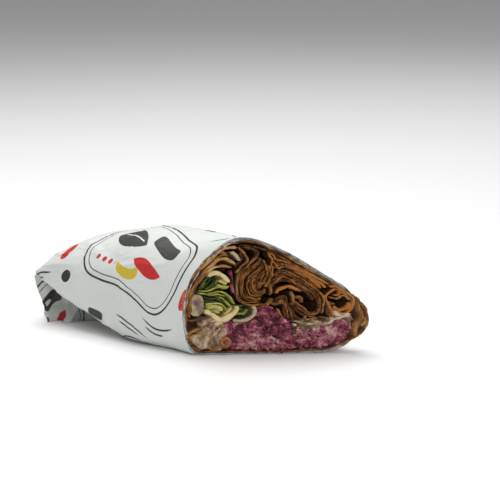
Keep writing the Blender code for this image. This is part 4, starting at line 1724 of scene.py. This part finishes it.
@dataclass
class Flatbread:
    """The rolled flatbread: thin layers round the filling, and the roll behind them."""

    around: int = 240
    base_wall: float = 1.25
    base_rows: tuple[float, ...] = (5, 12, 24, 42, 62, 80, 96, 116, 136, 146, 147.5)
    base_end: float = 0.6
    hole_rows: Line = ((CUT.fill_depth, 0.05), (CUT.fill_depth, 1), (30, 1), (5, 1))
    layers: tuple[Part, ...] = (
        Layer((
            (-49.6, 13), (-50.2, 24), (-49, 35), (-44.6, 46), (-37, 54.6), (-28.6, 61.2), (-20, 63.6),
            (-12, 62.9), (-3, 59.3), (8.4, 53.4), (19.4, 46.5), (30.3, 39.6), (40, 33.1), (47, 26.9),
            (49.6, 20.4), (48.7, 14.6), (44.6, 10.2), (37.4, 6.1), (25.6, 2.6), (11, 1.8), (-10, 1.7),
            (-30, 1.7), (-43, 2.2), (-47.3, 5.6),
        ), 1.0, -0.3, 12, 0.42, closed=True, kink=0.4, spread=0.4),
        Layer((
            (-48.2, 21.3), (-48.6, 28.8), (-47.2, 35), (-45, 39.5), (-41.8, 44.2), (-38.9, 47.7), (-36, 50.4),
            (-33.1, 53.0), (-28.6, 54.1), (-24.6, 52.9), (-23, 51),
        ), 1.8, -0.1, 14, 0.4, kink=0.5, spread=0.4, warm=(0.5, -45, -34)),
        Layer((
            (-47, 24), (-47.3, 31), (-45.4, 36.2), (-42.4, 41.4), (-39.2, 45.2), (-36.3, 47.9), (-33.2, 49.4),
            (-28.6, 49.8), (-25, 48.9),
        ), 1.5, 0.3, 12, 0.42, kink=0.45, spread=0.4, warm=(0.5, -45, -34)),
        Layer((
            (-46.8, 43.4), (-42.8, 47.6), (-38.4, 52), (-34.5, 55.2), (-31.4, 58.4), (-27, 59.9), (-22, 60),
        ), 1.8, 0.0, 12, 0.55, kink=0.5, warm=(0.35, -42, -30)),
        Layer(((-36.4, 53.2), (-33.4, 56.9), (-29.5, 57.4), (-26.6, 56.2)), 1.4, 1.2, 10, 0.5, kink=0.5),
        Layer(((-43, 47), (-38, 51.4), (-34, 53.9), (-29, 55.9), (-25.6, 55)), 1.4, 1.2, 10, 0.45, kink=0.5),
        Layer((
            (-13, 60.9), (-3, 57.6), (7.6, 51.9), (18, 45.4), (28.6, 38.8),
        ), 1.0, 0.3, 10, 0.25, warm=(0.35, 5, 20)),
        Family((
            ((40.2, 34.2), (42.6, 30), (43.9, 24.8), (43.2, 18.8), (41.6, 13)),
            ((44, 31.6), (46, 27.1), (46.5, 21.5), (44.9, 15.4), (42.2, 9.6)),
            ((46.3, 29), (48.1, 24.8), (48.1, 20.1), (46.4, 14.4), (43.6, 9.6)),
        ), 4, 1.1, 12, (0.35, 0.82), 0.3, scraps=1),
        Layer(((-49.3, 20.2), (-46.9, 19.6), (-43, 19.9), (-40.8, 18.6)), 1.2, 0.4, 10, 0.35),
        Layer(((-48.6, 9), (-47.6, 12.2), (-44.4, 14.0), (-41.2, 15)), 1.5, 0.4, 10, 0.75),
        Layer(((-48.2, 6.4), (-46.6, 10), (-43, 12)), 1.3, 0.9, 9, 0.6),
        Layer(((-47.8, 7), (-45.8, 4.0), (-42, 2.9), (-38, 5), (-35, 3.0), (-30, 2.6)), 1.1, 0.3, 9, 0.8),
    )

    def base(self, batch: Batch) -> None:
        """Makes the bread behind its layers: a thick wall round the filling, closed behind it.

        Args:
            batch: Where it goes.
        """
        turns = np.linspace(0, 2 * math.pi, self.around, endpoint=False)
        middle = np.array((0, CUT.centre_v))
        inner = smooth_curve(BREAD_INNER, 0.8, True) - middle
        known = np.arctan2(inner[:, 1], inner[:, 0]) % (2 * math.pi)
        order = np.argsort(known)
        known, inner = known[order], inner[order]
        known = np.concatenate([known[-1:] - 2 * math.pi, known, known[:1] + 2 * math.pi])
        face = ROLL.sections(self.base_rows[:1], turns)[0] / (math.sin(CUT.angle), 1) - middle
        wanted = np.arctan2(face[:, 1], face[:, 0]) % (2 * math.pi)
        hole = read_line(wanted, known, np.concatenate([inner[-1:], inner, inner[:1]]))
        rows = [CUT.place(*(middle + hole * share).T, s) for s, share in self.hole_rows]
        s = np.array(self.base_rows)
        rings = shrunk(ROLL.sections(s, turns), self.base_wall)
        rings[-1] = rings[-1].mean(0) + self.base_end * (rings[-1] - rings[-1].mean(0))
        rows += list(ROLL.place(s[:, None], rings[..., 0], rings[..., 1]))
        # A low tint and an edge value of nought make the base dark: painted shade behind the layers.
        batch.grid(np.array(rows), 0.15, 0.0)

    def build(self, finish: Material) -> None:
        """Makes the bread's piece.

        Args:
            finish: The material.
        """
        batch = Batch()
        self.base(batch)
        add_layers(batch, self.layers, 100)
        batch.build("bread_layers", finish, ["flatbread"], Slot.BREAD.value)


NEST_LINES: tuple[Line, ...] = (
    (
        (-10.1, 57.3), (-12.4, 53.7), (-16, 50.5), (-19.6, 47.3), (-21.9, 44.1), (-22.6, 39.9), (-22.3, 35.8),
        (-21, 32), (-18.3, 29.2), (-14.2, 28), (-10.1, 28.2), (-6.5, 29.4),
    ),
    (
        (-7.9, 55.9), (-10.6, 51.3), (-15.1, 47.7), (-17.8, 44), (-19.2, 39.9), (-18.7, 35.7), (-16.9, 32.9),
        (-13.7, 30.7), (-10.1, 30.6), (-6.9, 31.8),
    ),
    (
        (-6.1, 54.5), (-8.3, 49.9), (-12.4, 45.8), (-15.1, 41.7), (-16, 37.5), (-14.2, 33.9), (-11, 32.6),
        (-7.8, 33.4), (-4.9, 35.5),
    ),
    (
        (-4.7, 51.2), (-6.9, 47.6), (-10.1, 43.9), (-12.4, 39.8), (-12.4, 36.6), (-10.6, 34.9), (-7.6, 35.5),
        (-5.1, 37.5),
    ),
    ((-4.2, 48), (-6.5, 43.9), (-8.7, 39.9), (-9.4, 37.6), (-8.2, 37), (-7, 38)),
)


@dataclass
class ShavedMeat:
    """The folded slices of meat: a nest of hairpin folds on the left, and one round a hollow on the right."""

    left: tuple[Part, ...] = (
        Family(NEST_LINES, 11, 0.82, 16, (0.0, 0.85), 0.35, 0.05, scraps=2),
        Family((
            ((-21, 61), (-16.9, 61.7), (-12.4, 60.8), (-9.4, 57.8), (-9.9, 54.6)),
            ((-18, 59.6), (-14.6, 60), (-11.6, 58.6), (-11.4, 56.2), (-12.6, 54.4)),
        ), 3, 0.8, 12, (0.3, 0.8), 0.25),
        Layer((
            (-21.4, 60.2), (-18.7, 57.9), (-16.2, 54), (-16.9, 51.9), (-20.1, 49.2), (-22.3, 46),
        ), 1.4, -0.2, 12, 0.8),
        Layer(((-19.8, 57.4), (-18.4, 54.4), (-20, 52), (-23, 49.6)), 1.2, 0.9, 11, 0.4),
        Layer(((-5.8, 37.6), (-5.2, 39.6), (-3.2, 40), (-2.3, 38.3), (-3.9, 37.3)), 1.0, 0.4, 9, 0.7),
        Layer(((-13, 26.6), (-8.8, 27), (-4.6, 28.6), (-2.6, 31.6)), 1.5, 0.3, 12, 0.5),
        Layer(((-3.6, 33.4), (-2.8, 36), (-3.4, 41), (-3.0, 46)), 1.3, 1.0, 14, 0.5),
        Family((
            ((-8.2, 52.6), (-6.4, 48.6), (-6.2, 44), (-7.4, 40.2)),
            ((-5.4, 50.6), (-4.2, 46.6), (-4.2, 42.6), (-5.6, 39.4)),
        ), 4, 0.9, 14, (0.4, 0.95), 0.3),
    )
    right: tuple[Part, ...] = (
        Family((
            ((-1.8, 55.8), (3.2, 53.4), (8.2, 51), (13.2, 48.2), (18.7, 44.4), (24.2, 40.4), (29, 37.2)),
            ((-2.7, 52.6), (1.4, 51.6), (6.9, 49.9), (11.4, 47.9), (16.9, 44.6), (21.4, 41), (26, 37)),
            (
                (-2.0, 44.8), (0.1, 47.2), (3.2, 48.8), (7.3, 47.8), (12.3, 45.2), (17.3, 41.9), (21.5, 38.7),
                (25.4, 34.6),
            ),
        ), 6, 1.0, 16, (0.3, 0.9), 0.35, scraps=2, warm=(0.9, 5, 18)),
        Family((
            (
                (-1.6, 43.8), (0.1, 46), (3.4, 47.4), (7.5, 46.4), (12.3, 43.7), (17.3, 40.3), (21.9, 37),
                (25.2, 32.6), (26.2, 27), (25.8, 22.4),
            ),
            (
                (-3.1, 41.9), (0.5, 44.7), (5.1, 45.3), (10.5, 43.2), (16, 39.4), (20.8, 35.6), (24.2, 31),
                (25.2, 26), (24, 21.6),
            ),
            (
                (-3.5, 38.2), (-0.8, 41.2), (3.7, 42.6), (8.3, 41.4), (13.3, 38.4), (17.8, 34.9), (21.9, 30.8),
                (24, 26.6), (22.6, 23), (19.2, 22.4), (15.4, 24.8),
            ),
        ), 7, 0.85, 17, (0.1, 0.85), 0.35, scraps=1),
        Family((
            ((8.6, 29.9), (12.4, 27.6), (16.1, 24.8), (20.2, 22.6), (23.2, 24)),
            ((8.3, 27.8), (11.5, 24), (15.2, 21.4), (19.8, 19.9), (24.2, 20.8)),
            ((6, 28.6), (7.4, 25), (9.7, 21.4), (13.4, 18.9), (18.9, 17.6), (24.4, 18.4)),
        ), 5, 0.95, 14, (0.2, 0.8), 0.25),
        Family((
            ((-1.7, 29.9), (1, 32.2), (3.8, 31), (4.7, 27.9), (4.3, 23.2), (5.4, 19)),
            ((1.5, 33), (4.9, 32.6), (6, 29.2), (6.7, 25), (7.8, 21), (10.7, 17.9)),
        ), 4, 0.95, 14, (0.3, 0.85), 0.25),
        Layer(((-0.8, 34.4), (1.5, 36.8), (5.1, 37.9), (9.2, 37.4), (12.9, 35.4)), 2.0, -0.4, 15, 0.9),
        Layer((
            (-2.4, 38.2), (0.4, 40.7), (4.6, 41.5), (9.2, 40.3), (13.4, 37.5), (17.4, 34.2), (20.4, 30.6),
        ), 1.8, 0.7, 15, 0.4),
        Layer(((10.0, 31.8), (12.2, 32.2), (13.9, 30.8), (13.4, 28.8)), 1.8, 0.4, 13, 0.6, kink=0.5),
        Layer(((0.6, 28.4), (2.6, 29.6), (4.2, 28.4), (4.6, 25.6)), 2.2, -0.2, 12, 0.75, kink=0.5),
        Layer(((-9.4, 37.4), (-7.4, 39.9), (-5.1, 39.7), (-3.7, 37.5)), 1.1, 0.8, 10, 0.5),
        Layer(((7.6, 35.4), (9, 31.6), (8.9, 28.8), (7.2, 28.2)), 1.5, 0.2, 14, 0.7),
        Layer(((0.4, 25.6), (1.9, 21.8), (4.4, 18.9)), 1.0, 0.1, 10, 0.97),
        Layer(((-2.4, 29), (-0.4, 28.0), (1.6, 28.9), (1.8, 30.6)), 1.9, 0.3, 10, 0.75),
        Layer((
            (-5.4, 57.8), (-4.6, 55.6), (-3.3, 53.4), (-3.4, 50.2), (-2.4, 47.4), (-2.6, 44.2),
        ), 0.9, -0.5, 5, 1.1, kink=0.5),
        Layer((
            (-5.0, 56.8), (-2.6, 55.6), (-0.6, 53.6), (3.0, 52.6), (7.0, 50.6),
        ), 0.8, -0.4, 10, 1.1, kink=0.5),
        Layer(((-2.9, 52.6), (-1.2, 50.9), (0.4, 48.6), (2.6, 49.6)), 0.7, -0.2, 10, 0.95, kink=0.4),
        Layer((
            (26.2, 31.6), (28.8, 34.6), (31.5, 36.2), (34.3, 35.2), (33.4, 33.2), (31.1, 33.0),
        ), 0.9, -0.2, 12, 1.0, kink=0.5),
        Layer((
            (26.4, 33), (27.2, 29), (29.2, 25.9), (32.2, 23.8), (35.5, 22.4), (38.4, 22.2), (41.2, 24.4),
            (42, 28), (40.6, 32), (37, 35), (33.4, 37),
        ), 1.3, -0.2, 14, 0.95, kink=0.6),
        Layer(((29.6, 31.4), (33.4, 31), (37, 32.2), (40.3, 31.2)), 1.0, 0.6, 12, 0.85, kink=0.5),
        Layer((
            (30.6, 26.4), (33.4, 24.9), (36.8, 24.6), (39.8, 26.2), (40.7, 28.6),
        ), 2.5, 0.7, 11, 0.95, kink=0.7, rough=0.5),
        Layer(((28.6, 30.2), (30.4, 28.0), (32.4, 27.2)), 1.6, 0.9, 11, 0.75, kink=0.6, rough=0.5),
        Layer(((33.6, 33.6), (36.4, 34.4), (39.6, 32.6), (41.2, 30)), 1.7, 0.3, 11, 1.05, kink=0.6, rough=0.5),
        Layer(((27.6, 27.2), (29, 24), (31.4, 21.6), (35.4, 20.4), (39, 20.6)), 1.4, 0.3, 12, 0.9),
        Layer(((26.9, 30.6), (27.5, 26.1), (28.8, 22.6), (30.3, 19.2)), 1.3, 0.4, 13, 0.6),
        Layer(((28.4, 38.2), (32, 37.6), (36.2, 35.6), (40, 33)), 1.1, 0.0, 12, 1.0, kink=0.5),
    )
    crumbs: int = 150
    left_back: Line = (
        (-22.5, 34), (-23.5, 43), (-23.5, 50), (-22.5, 55), (-22, 60), (-15, 62), (-8, 60.5), (-4, 57.5),
        (-4, 30), (-9, 27.5), (-15, 27.5), (-20, 30.5),
    )
    right_back: Line = (
        (-5, 58), (5, 53.5), (14, 48.5), (23, 43), (32, 38.5), (39, 34), (42, 29), (41.5, 23), (33, 20),
        (27, 18), (12, 18), (3, 19.5), (-5, 28), (-5, 42),
    )

    def build(self, finish: Material) -> None:
        """Makes the two heaps of slices.

        Args:
            finish: The material.
        """
        for name, parts, outline, seed in (
            ("meat_left", self.left, self.left_back, 300), ("meat_right", self.right, self.right_back, 500),
        ):
            batch = Batch()
            # The lump behind the slices is painted nearly black, with a low tint and an edge value of nought:
            # painted shade deep in the gaps.
            back = Mound(
                outline, front=15.0, lump_size=4.0, depth=64, tint=-0.3, tint_spread=0.1, edge_value=0.0,
                around=1.0, rings=14,
            )
            back.add_to(batch, seed)
            slices = add_layers(batch, parts, seed)
            Crumbs(self.crumbs).add_to(batch, slices, seed + 90)
            batch.build(f"{name}_slices", finish, [name], Slot.MEAT.value)


@dataclass
class Lettuce:
    """The folded lettuce: dark blades, yellow-green edges and thick pale ribs."""

    upper: tuple[Layer, ...] = (
        Layer(((-42, 37.3), (-39.6, 40.4), (-37.2, 43.4), (-34.6, 45)), 1.0, 1.2, 14, 0.12),
        Layer(((-41, 36.8), (-38, 38.6), (-35.6, 41.4), (-34.4, 44)), 0.9, 3.0, 14, 0.22),
        Layer(((-38.6, 36.6), (-35.4, 38.2), (-33.2, 40.6), (-32.8, 43.6)), 0.9, 2.4, 14, 0.08),
        Layer(((-36.2, 36.8), (-33.4, 38), (-31.6, 40), (-30.6, 42.6)), 0.9, 3.4, 12, 0.3),
        Layer(((-42.6, 36.4), (-38.6, 36.2), (-34.6, 37), (-31.8, 38.8)), 0.8, 0.4, 12, 0.55),
        Layer(((-32.6, 38.6), (-29.6, 38.4), (-27, 37.6), (-25.2, 38.6)), 2.4, 1.6, 12, 0.66),
        Layer(((-30.8, 41.6), (-28.4, 41), (-26.2, 39.8)), 2.0, 1.8, 12, 0.78),
    )
    rib: tuple[Layer, ...] = (
        Layer((
            (-37.6, 44.6), (-34.6, 46), (-31, 45.6), (-28, 43.6), (-25.9, 41),
        ), 2.5, 0.0, 12, 0.95, rough=0.1),
    )
    lower: tuple[Layer, ...] = (
        Layer((
            (-42.6, 35.2), (-38.6, 34.6), (-35.4, 35), (-31.9, 35.6), (-28.6, 34.9), (-26, 32.2), (-23.4, 28.6),
        ), 0.9, -0.3, 12, 0.62),
        Layer(((-38, 34), (-34.6, 33.8), (-31.6, 34.2), (-28.4, 33)), 0.8, 0.3, 12, 0.7),
        Layer(((-31.6, 32.9), (-28.8, 31.4), (-26.3, 28.8), (-24.6, 26.4)), 0.8, 0.4, 12, 0.55),
        Layer(((-38.8, 32.6), (-35, 31.4), (-31.6, 31.6), (-28.6, 30)), 0.9, 3.6, 12, 0.1),
        Layer(((-38.4, 30.6), (-34.6, 29.8), (-31, 29.8)), 0.9, 3.0, 12, 0.06),
        Layer(((-31.4, 31.2), (-28.4, 29), (-26.4, 26.2)), 0.9, 2.8, 12, 0.18),
        Layer(((-38.4, 28.6), (-35, 29), (-31.6, 29), (-28.6, 27.4), (-27.2, 25.2)), 1.0, 0.6, 12, 0.6),
        Layer(((-38.4, 27), (-35, 27.2), (-31.4, 26.6), (-29.2, 25)), 2.8, 1.0, 12, 0.66),
        Layer(((-36.6, 25), (-33.4, 24.6), (-30.6, 23.9)), 2.0, 1.6, 12, 0.58),
        Layer(((-39.4, 25.2), (-36.4, 23.3), (-33.3, 21.3), (-30.2, 18.9)), 2.8, -0.4, 12, 1.25, rough=0.12),
        Layer((
            (-30.6, 19.6), (-27.6, 20.6), (-24.6, 22.6), (-22.2, 25.4), (-21.6, 27.6),
        ), 3.2, -0.3, 12, 1.1, rough=0.12),
        Layer(((-28.2, 22.4), (-26.4, 24.4), (-24.6, 26.6)), 1.6, 0.9, 12, 0.72),
    )
    tip: tuple[Layer, ...] = (
        Layer(((-22, 22.8), (-19.4, 23), (-17, 23.6), (-15.2, 25.2)), 1.3, 1.4, 12, 0.3),
        Layer(((-21.2, 24.6), (-19, 24.9), (-17, 26)), 1.1, 2.8, 12, 0.06),
        Layer(((-20.6, 26.8), (-18.4, 27), (-16.2, 27.2)), 1.0, 2.4, 12, 0.1),
        Layer(((-18.6, 22.2), (-16.8, 23.4), (-15.6, 25.4)), 0.8, 0.6, 10, 0.5),
    )
    scrap: tuple[Layer, ...] = (
        Layer(((8.6, 17.2), (10.6, 15.6), (11.2, 13.2)), 1.3, -1.1, 10, 0.95),
        Layer(((11.2, 17.6), (13.4, 16.8), (16.2, 16.4)), 1.3, -0.9, 10, 0.35),
        Layer(((12.2, 15.4), (14.2, 14.2), (14.8, 12.7)), 1.4, -1.0, 10, 0.5),
        Layer(((15.6, 16.2), (17.2, 14.8), (18.6, 14.6)), 1.2, -0.8, 10, 0.2),
        Layer(((9.4, 14.4), (8.4, 12.8), (9.6, 11.6)), 1.1, -0.9, 10, 0.12),
    )
    lower_back: Line = (
        (-42.5, 34.5), (-33, 35.5), (-25, 35), (-24, 31), (-20.5, 27), (-25, 20.5), (-29.5, 18), (-34.5, 20.5),
        (-40, 25.5), (-40.5, 30),
    )
    upper_back: Line = (
        (-43, 36.8), (-39.5, 42), (-36, 45), (-30, 45), (-26, 41.5), (-24, 36.5), (-30, 35.6), (-37, 36),
    )
    tip_back: Line = ((-22, 22), (-16, 22), (-14.5, 25), (-15.5, 27), (-20, 27.5))
    scrap_back: Line = ((9.5, 17), (16, 17.5), (17.5, 14), (14, 12.3), (10, 13))
    back_front: float = 6.0
    scrap_front: float = -0.1

    def build(self, finish: Material) -> None:
        """Makes each leaf.

        Args:
            finish: The material.
        """
        for k, (name, parts, back) in enumerate((
            ("upper", self.upper, self.upper_back), ("rib", self.rib, None),
            ("lower", self.lower, self.lower_back), ("tip", self.tip, self.tip_back),
            ("scrap", self.scrap, self.scrap_back),
        )):
            batch = Batch()
            if back:
                # The lump behind each leaf has a low tint and an edge value of nought, so it is painted dark:
                # painted shade behind the leaves.
                mound = Mound(
                    back, front=self.scrap_front if name == "scrap" else self.back_front, lumps=0.6, tint=0.12,
                    tint_spread=0.1, edge_value=0.0, around=0.9, rings=10,
                )
                mound.add_to(batch, 700 + k)
            add_layers(batch, parts, 710 + 20 * k)
            batch.build(f"lettuce_{name}_leaf", finish, [f"lettuce_{name}"], Slot.LETTUCE.value)


@dataclass
class Onion:
    """The pale pieces: a thick stained piece on the left, a ring and a sliver."""

    left: Line = (
        (-46.3, 32.6), (-43, 34.2), (-40, 32.6), (-39.3, 28), (-40, 23.6), (-42.8, 21.6), (-46, 22.8),
        (-46.9, 27.6),
    )
    ring: Layer = Layer((
        (-24, 19.4), (-19.6, 18.9), (-15.4, 20), (-12.4, 22.9), (-12, 26), (-13.4, 27.3),
    ), 1.9, -0.4, 12, 0.85, rough=0.1)
    sliver: Layer = Layer(((-24.9, 57.9), (-22.4, 56.2), (-20.2, 53)), 1.9, 0.2, 12, 1.0, rough=0.1)

    def build(self, finish: Material) -> None:
        """Makes the three pieces.

        Args:
            finish: The material.
        """
        left = Mound(
            self.left, front=0.2, swell=1.8, tint=0.95, tint_spread=0.5, around=0.4, rings=26, core=-0.95,
        )
        for k, (name, part) in enumerate((("left", left), ("ring", self.ring), ("sliver", self.sliver))):
            batch = Batch()
            part.add_to(batch, 800 + 10 * k)
            batch.build(f"onion_{name}_piece", finish, [f"onion_{name}"], Slot.ONION.value)


@dataclass
class CabbageSlaw:
    """Finely cut red cabbage in dressing, along the bottom of the cut."""

    outline: Line = (
        (-29.5, 17.6), (-24, 18), (-17, 18.4), (-11, 21), (-9, 25), (-5, 27.6), (-1.5, 26), (2.5, 22), (8, 18),
        (14, 16), (22, 15.5), (30, 16.5), (40.5, 18), (41.8, 12), (38, 7), (31, 4.2), (12, 2.9), (-20, 2.6),
        (-26.5, 3), (-27.8, 9),
    )
    count: int = 210
    strip: Layer = Layer((
        (-25, 47.6), (-24.3, 44.1), (-24, 40.4), (-23.6, 37.6), (-22.9, 34.4),
    ), 0.9, 0.6, 3, 0.35, kink=0.5)

    pools: tuple[Form, ...] = (
        ((-7, 6.5), (16, 4.5), 0.42), ((-2, 19), (12, 6), -0.34), ((14, 7), (5, 5), -0.25),
        ((37, 12), (5, 6), -0.4),
    )
    right_pale: float = 0.36
    right_from: Pair = (10.0, 4.0)
    right_band: Pair = (12.0, 6.0)

    def pale(self, u: Points, v: Points) -> Points:
        """How pale the slaw is: milky low down and on the right, deep in the middle and at the far right.

        Args:
            u: How far along the cut.
            v: How far up it.

        Returns:
            What is added to its tint.
        """
        shade = sum(
            more * np.exp(-(((u - middle[0]) / half[0]) ** 2) - ((v - middle[1]) / half[1]) ** 2)
            for middle, half, more in self.pools
        )
        start, soft = self.right_from
        level, half = self.right_band
        right = self.right_pale / (1 + np.exp(-(u - start) / soft))
        return shade + right * np.exp(-(((v - level) / half) ** 2))

    def build(self, finish: Material) -> None:
        """Makes the slaw: a lumpy heap and the shreds on it.

        Args:
            finish: The material.
        """
        batch = Batch()
        heap = Mound(
            self.outline, front=0.3, swell=1.5, lumps=1.3, lump_size=2.2, tint=0.42, tint_spread=0.35,
            edge=2.0, around=0.42, rings=60,
        )
        long = Shreds(
            self.outline, self.count, length=(5, 12), width=(1.0, 2.4), thick=(0.5, 1.0), lift=(-0.2, 1.1),
            lean=0.14, curl=0.25,
        )
        short = Shreds(self.outline, self.count // 3, length=(2.5, 6), width=(0.7, 1.5), lift=(-1.0, 0.4))
        for k, part in enumerate((heap, long, short)):
            part.add_to(batch, 900 + 10 * k, self.pale)
        self.strip.add_to(batch, 930)
        batch.build("slaw_heap", finish, ["red_cabbage"], Slot.CABBAGE.value)


@dataclass
class Dressing:
    """The yoghurt dressing on the left and right of the slaw, with shreds in it."""

    left: Line = (
        (-40.3, 18.2), (-34.5, 20.6), (-28.4, 18.3), (-26, 9), (-26, 3.2), (-36, 2.8), (-42.5, 3.6),
        (-45.5, 6.5), (-45.7, 10.5), (-42.5, 12), (-41, 14.5),
    )
    right: Line = (
        (13, 19), (21, 18.6), (29, 19.5), (32.5, 23.5), (35, 22), (41.6, 22), (42.2, 17), (34, 16.5), (26, 15),
        (17, 14.4),
    )
    right_bands: tuple[Layer, ...] = (
        Layer((
            (10, 18.4), (15, 17.4), (21, 16.4), (27, 17.0), (32, 19.2), (36, 20.6), (41, 20.4),
        ), 1.1, -0.5, 9, 0.72, rough=0.3, kink=0.5, spread=0.5),
        Layer((
            (17, 14.6), (22, 15.4), (27, 17.6), (31, 20.4),
        ), 1.0, -0.3, 9, 0.6, rough=0.3, kink=0.5, spread=0.5),
        Layer(((31, 23.4), (33, 21.6), (36.4, 21.4), (40.4, 21.6)), 2.0, -0.5, 9, 1.3, rough=0.35, kink=0.7),
    )
    left_bands: tuple[Layer, ...] = (
        Layer(((-40.6, 13.6), (-38, 15.6), (-35, 17.8), (-32, 18.6)), 1.6, -0.2, 8, 0.3, rough=0.15),
        Layer(((-43, 8.6), (-39.4, 11), (-36.6, 14), (-34.4, 16.4)), 1.5, -0.4, 8, 0.55, rough=0.15),
        Layer(((-44, 6.4), (-40, 8), (-36, 10.6), (-33, 13.4)), 1.4, -0.2, 8, 0.85, rough=0.15),
    )

    def build(self, finish: Material) -> None:
        """Makes the two pools of dressing.

        Args:
            finish: The material.
        """
        for name, outline, bands, tint, count, seed in (
            ("left", self.left, self.left_bands, 0.6, 7, 1000),
            ("right", self.right, self.right_bands, 0.05, 26, 1040),
        ):
            batch = Batch()
            pool = Mound(
                outline, front=0.6, swell=1.6, lumps=1.7, lump_size=4.2, tint=tint, tint_spread=0.6,
                around=0.4, rings=44,
            )
            strips = Shreds(
                outline, count, length=(4, 9), width=(0.9, 1.8), lift=(0.3, 1.4), tints=(-0.1, tint + 0.4),
                curl=0.25,
            )
            pool.add_to(batch, seed)
            strips.add_to(batch, seed + 5)
            add_layers(batch, bands, seed + 10)
            batch.build(f"dressing_{name}", finish, [f"yoghurt_{name}"], Slot.YOGHURT.value)


@dataclass
class PepperSlice:
    """A slice of small pepper: a ring of flesh round a darker middle."""

    centre: Pair = (-28.4, 7.3)
    radius: float = 2.9
    ring_share: float = 0.72
    ring_squash: float = 0.92
    middle_share: float = 0.75

    def circle(self, share: float, squash: float) -> Line:
        """An oval round the centre.

        Args:
            share: Its half width, as a share of the radius.
            squash: Its height, as a share of its width.

        Returns:
            Its points.
        """
        turn = np.linspace(0, 2 * math.pi, 14, endpoint=False)
        reach = share * self.radius
        return self.centre + reach * np.stack([np.cos(turn), squash * np.sin(turn)], 1)

    def build(self, finish: Material) -> None:
        """Makes the slice.

        Args:
            finish: The material.
        """
        batch = Batch()
        ring = Layer(self.circle(self.ring_share, self.ring_squash), 1.5, -1.3, 9, 0.8, closed=True, rough=0.2)
        middle = Mound(
            self.circle(self.middle_share, 1), front=-0.9, swell=0.4, lumps=0.5, lump_size=1.1, depth=60,
            tint=0.36, tint_spread=0.5, edge=1.0, around=0.3, rings=12,
        )
        ring.add_to(batch, 1100)
        middle.add_to(batch, 1110)
        batch.build("pepper_ring", finish, ["pepper_slice"], Slot.PEPPER.value)


@dataclass(frozen=True)
class Lamp:
    """A square soft light that looks at the sandwich."""

    name: str
    at: Triple
    size: float
    power: float

    AIM = (0, 0, 0.03)

    def build(self) -> None:
        """Hangs the light."""
        data = bpy.data.lights.new(self.name, "AREA")
        data.size, data.energy = self.size, self.power
        lamp = add_object(self.name, data)
        lamp.location = self.at
        lamp.rotation_mode = "QUATERNION"
        lamp.rotation_quaternion = (Vector(self.AIM) - Vector(self.at)).to_track_quat("-Z", "Y")


@dataclass
class Studio:
    """The pale floor, the soft lights and the camera."""

    camera_at: Triple = (653.2, -770.6, 263.9)
    azimuth: float = math.radians(38)
    elevation: float = math.radians(12)
    lens: float = 130.9
    sensor: float = 36.0
    clip: Pair = (0.01, 20.0)
    floor_size: float = 6.0
    floor_tone: Triple = (0.86, 0.86, 0.86)
    floor_roughness: float = 0.6
    sky: float = 0.28
    lamps: tuple[Lamp, ...] = (
        Lamp("above", (-0.25, 0.1, 1.2), 1.0, 16.0), Lamp("front", (1.2, -0.75, 0.75), 0.4, 6.6),
        Lamp("behind", (-0.3, 1.1, 0.9), 0.9, 1.5),
    )

    def camera(self) -> None:
        """Puts the camera where the photograph was taken from."""
        data = bpy.data.cameras.new("camera")
        data.lens, data.sensor_width = self.lens, self.sensor
        data.clip_start, data.clip_end = self.clip
        camera = add_object("camera", data)
        level, down = math.cos(self.elevation), -math.sin(self.elevation)
        way = Vector((-math.sin(self.azimuth) * level, math.cos(self.azimuth) * level, down))
        camera.location = Vector(self.camera_at) * MM
        camera.rotation_mode = "QUATERNION"
        camera.rotation_quaternion = way.to_track_quat("-Z", "Y")
        bpy.context.scene.camera = camera

    def floor(self) -> None:
        """Lays the pale floor."""
        half = self.floor_size / 2
        mesh = bpy.data.meshes.new("floor")
        corners = [(x * half, y * half, 0) for x, y in ((-1, -1), (1, -1), (1, 1), (-1, 1))]
        mesh.from_pydata(corners, [], [(0, 1, 2, 3)])
        mesh.materials.append(Tree("floor").finish(self.floor_tone, self.floor_roughness))
        floor = add_object("floor", mesh)

    def build(self) -> None:
        """Sets up the studio."""
        self.camera()
        self.floor()
        for lamp in self.lamps:
            lamp.build()
        world = bpy.data.worlds.new("world")
        world.use_nodes = True
        background = world.node_tree.nodes["Background"].inputs
        background["Color"].default_value = (1, 1, 1, 1)
        background["Strength"].default_value = self.sky
        bpy.context.scene.world = world
        bpy.context.scene.view_settings.view_transform = "Standard"


def main() -> None:
    """Builds the sandwich and its studio."""
    logging.basicConfig(level=logging.INFO, format="%(message)s")
    Studio().build()
    PaperWrap().build(PaperFinish().material())
    Flatbread().build(BreadFinish().material())
    ShavedMeat().build(MeatFinish().material())
    Lettuce().build(LeafFinish().material())
    Onion().build(OnionFinish().material())
    CabbageSlaw().build(SlawFinish().material())
    Dressing().build(DressingFinish().material())
    PepperSlice().build(PepperFinish().material())


if __name__ == "__main__":
    main()
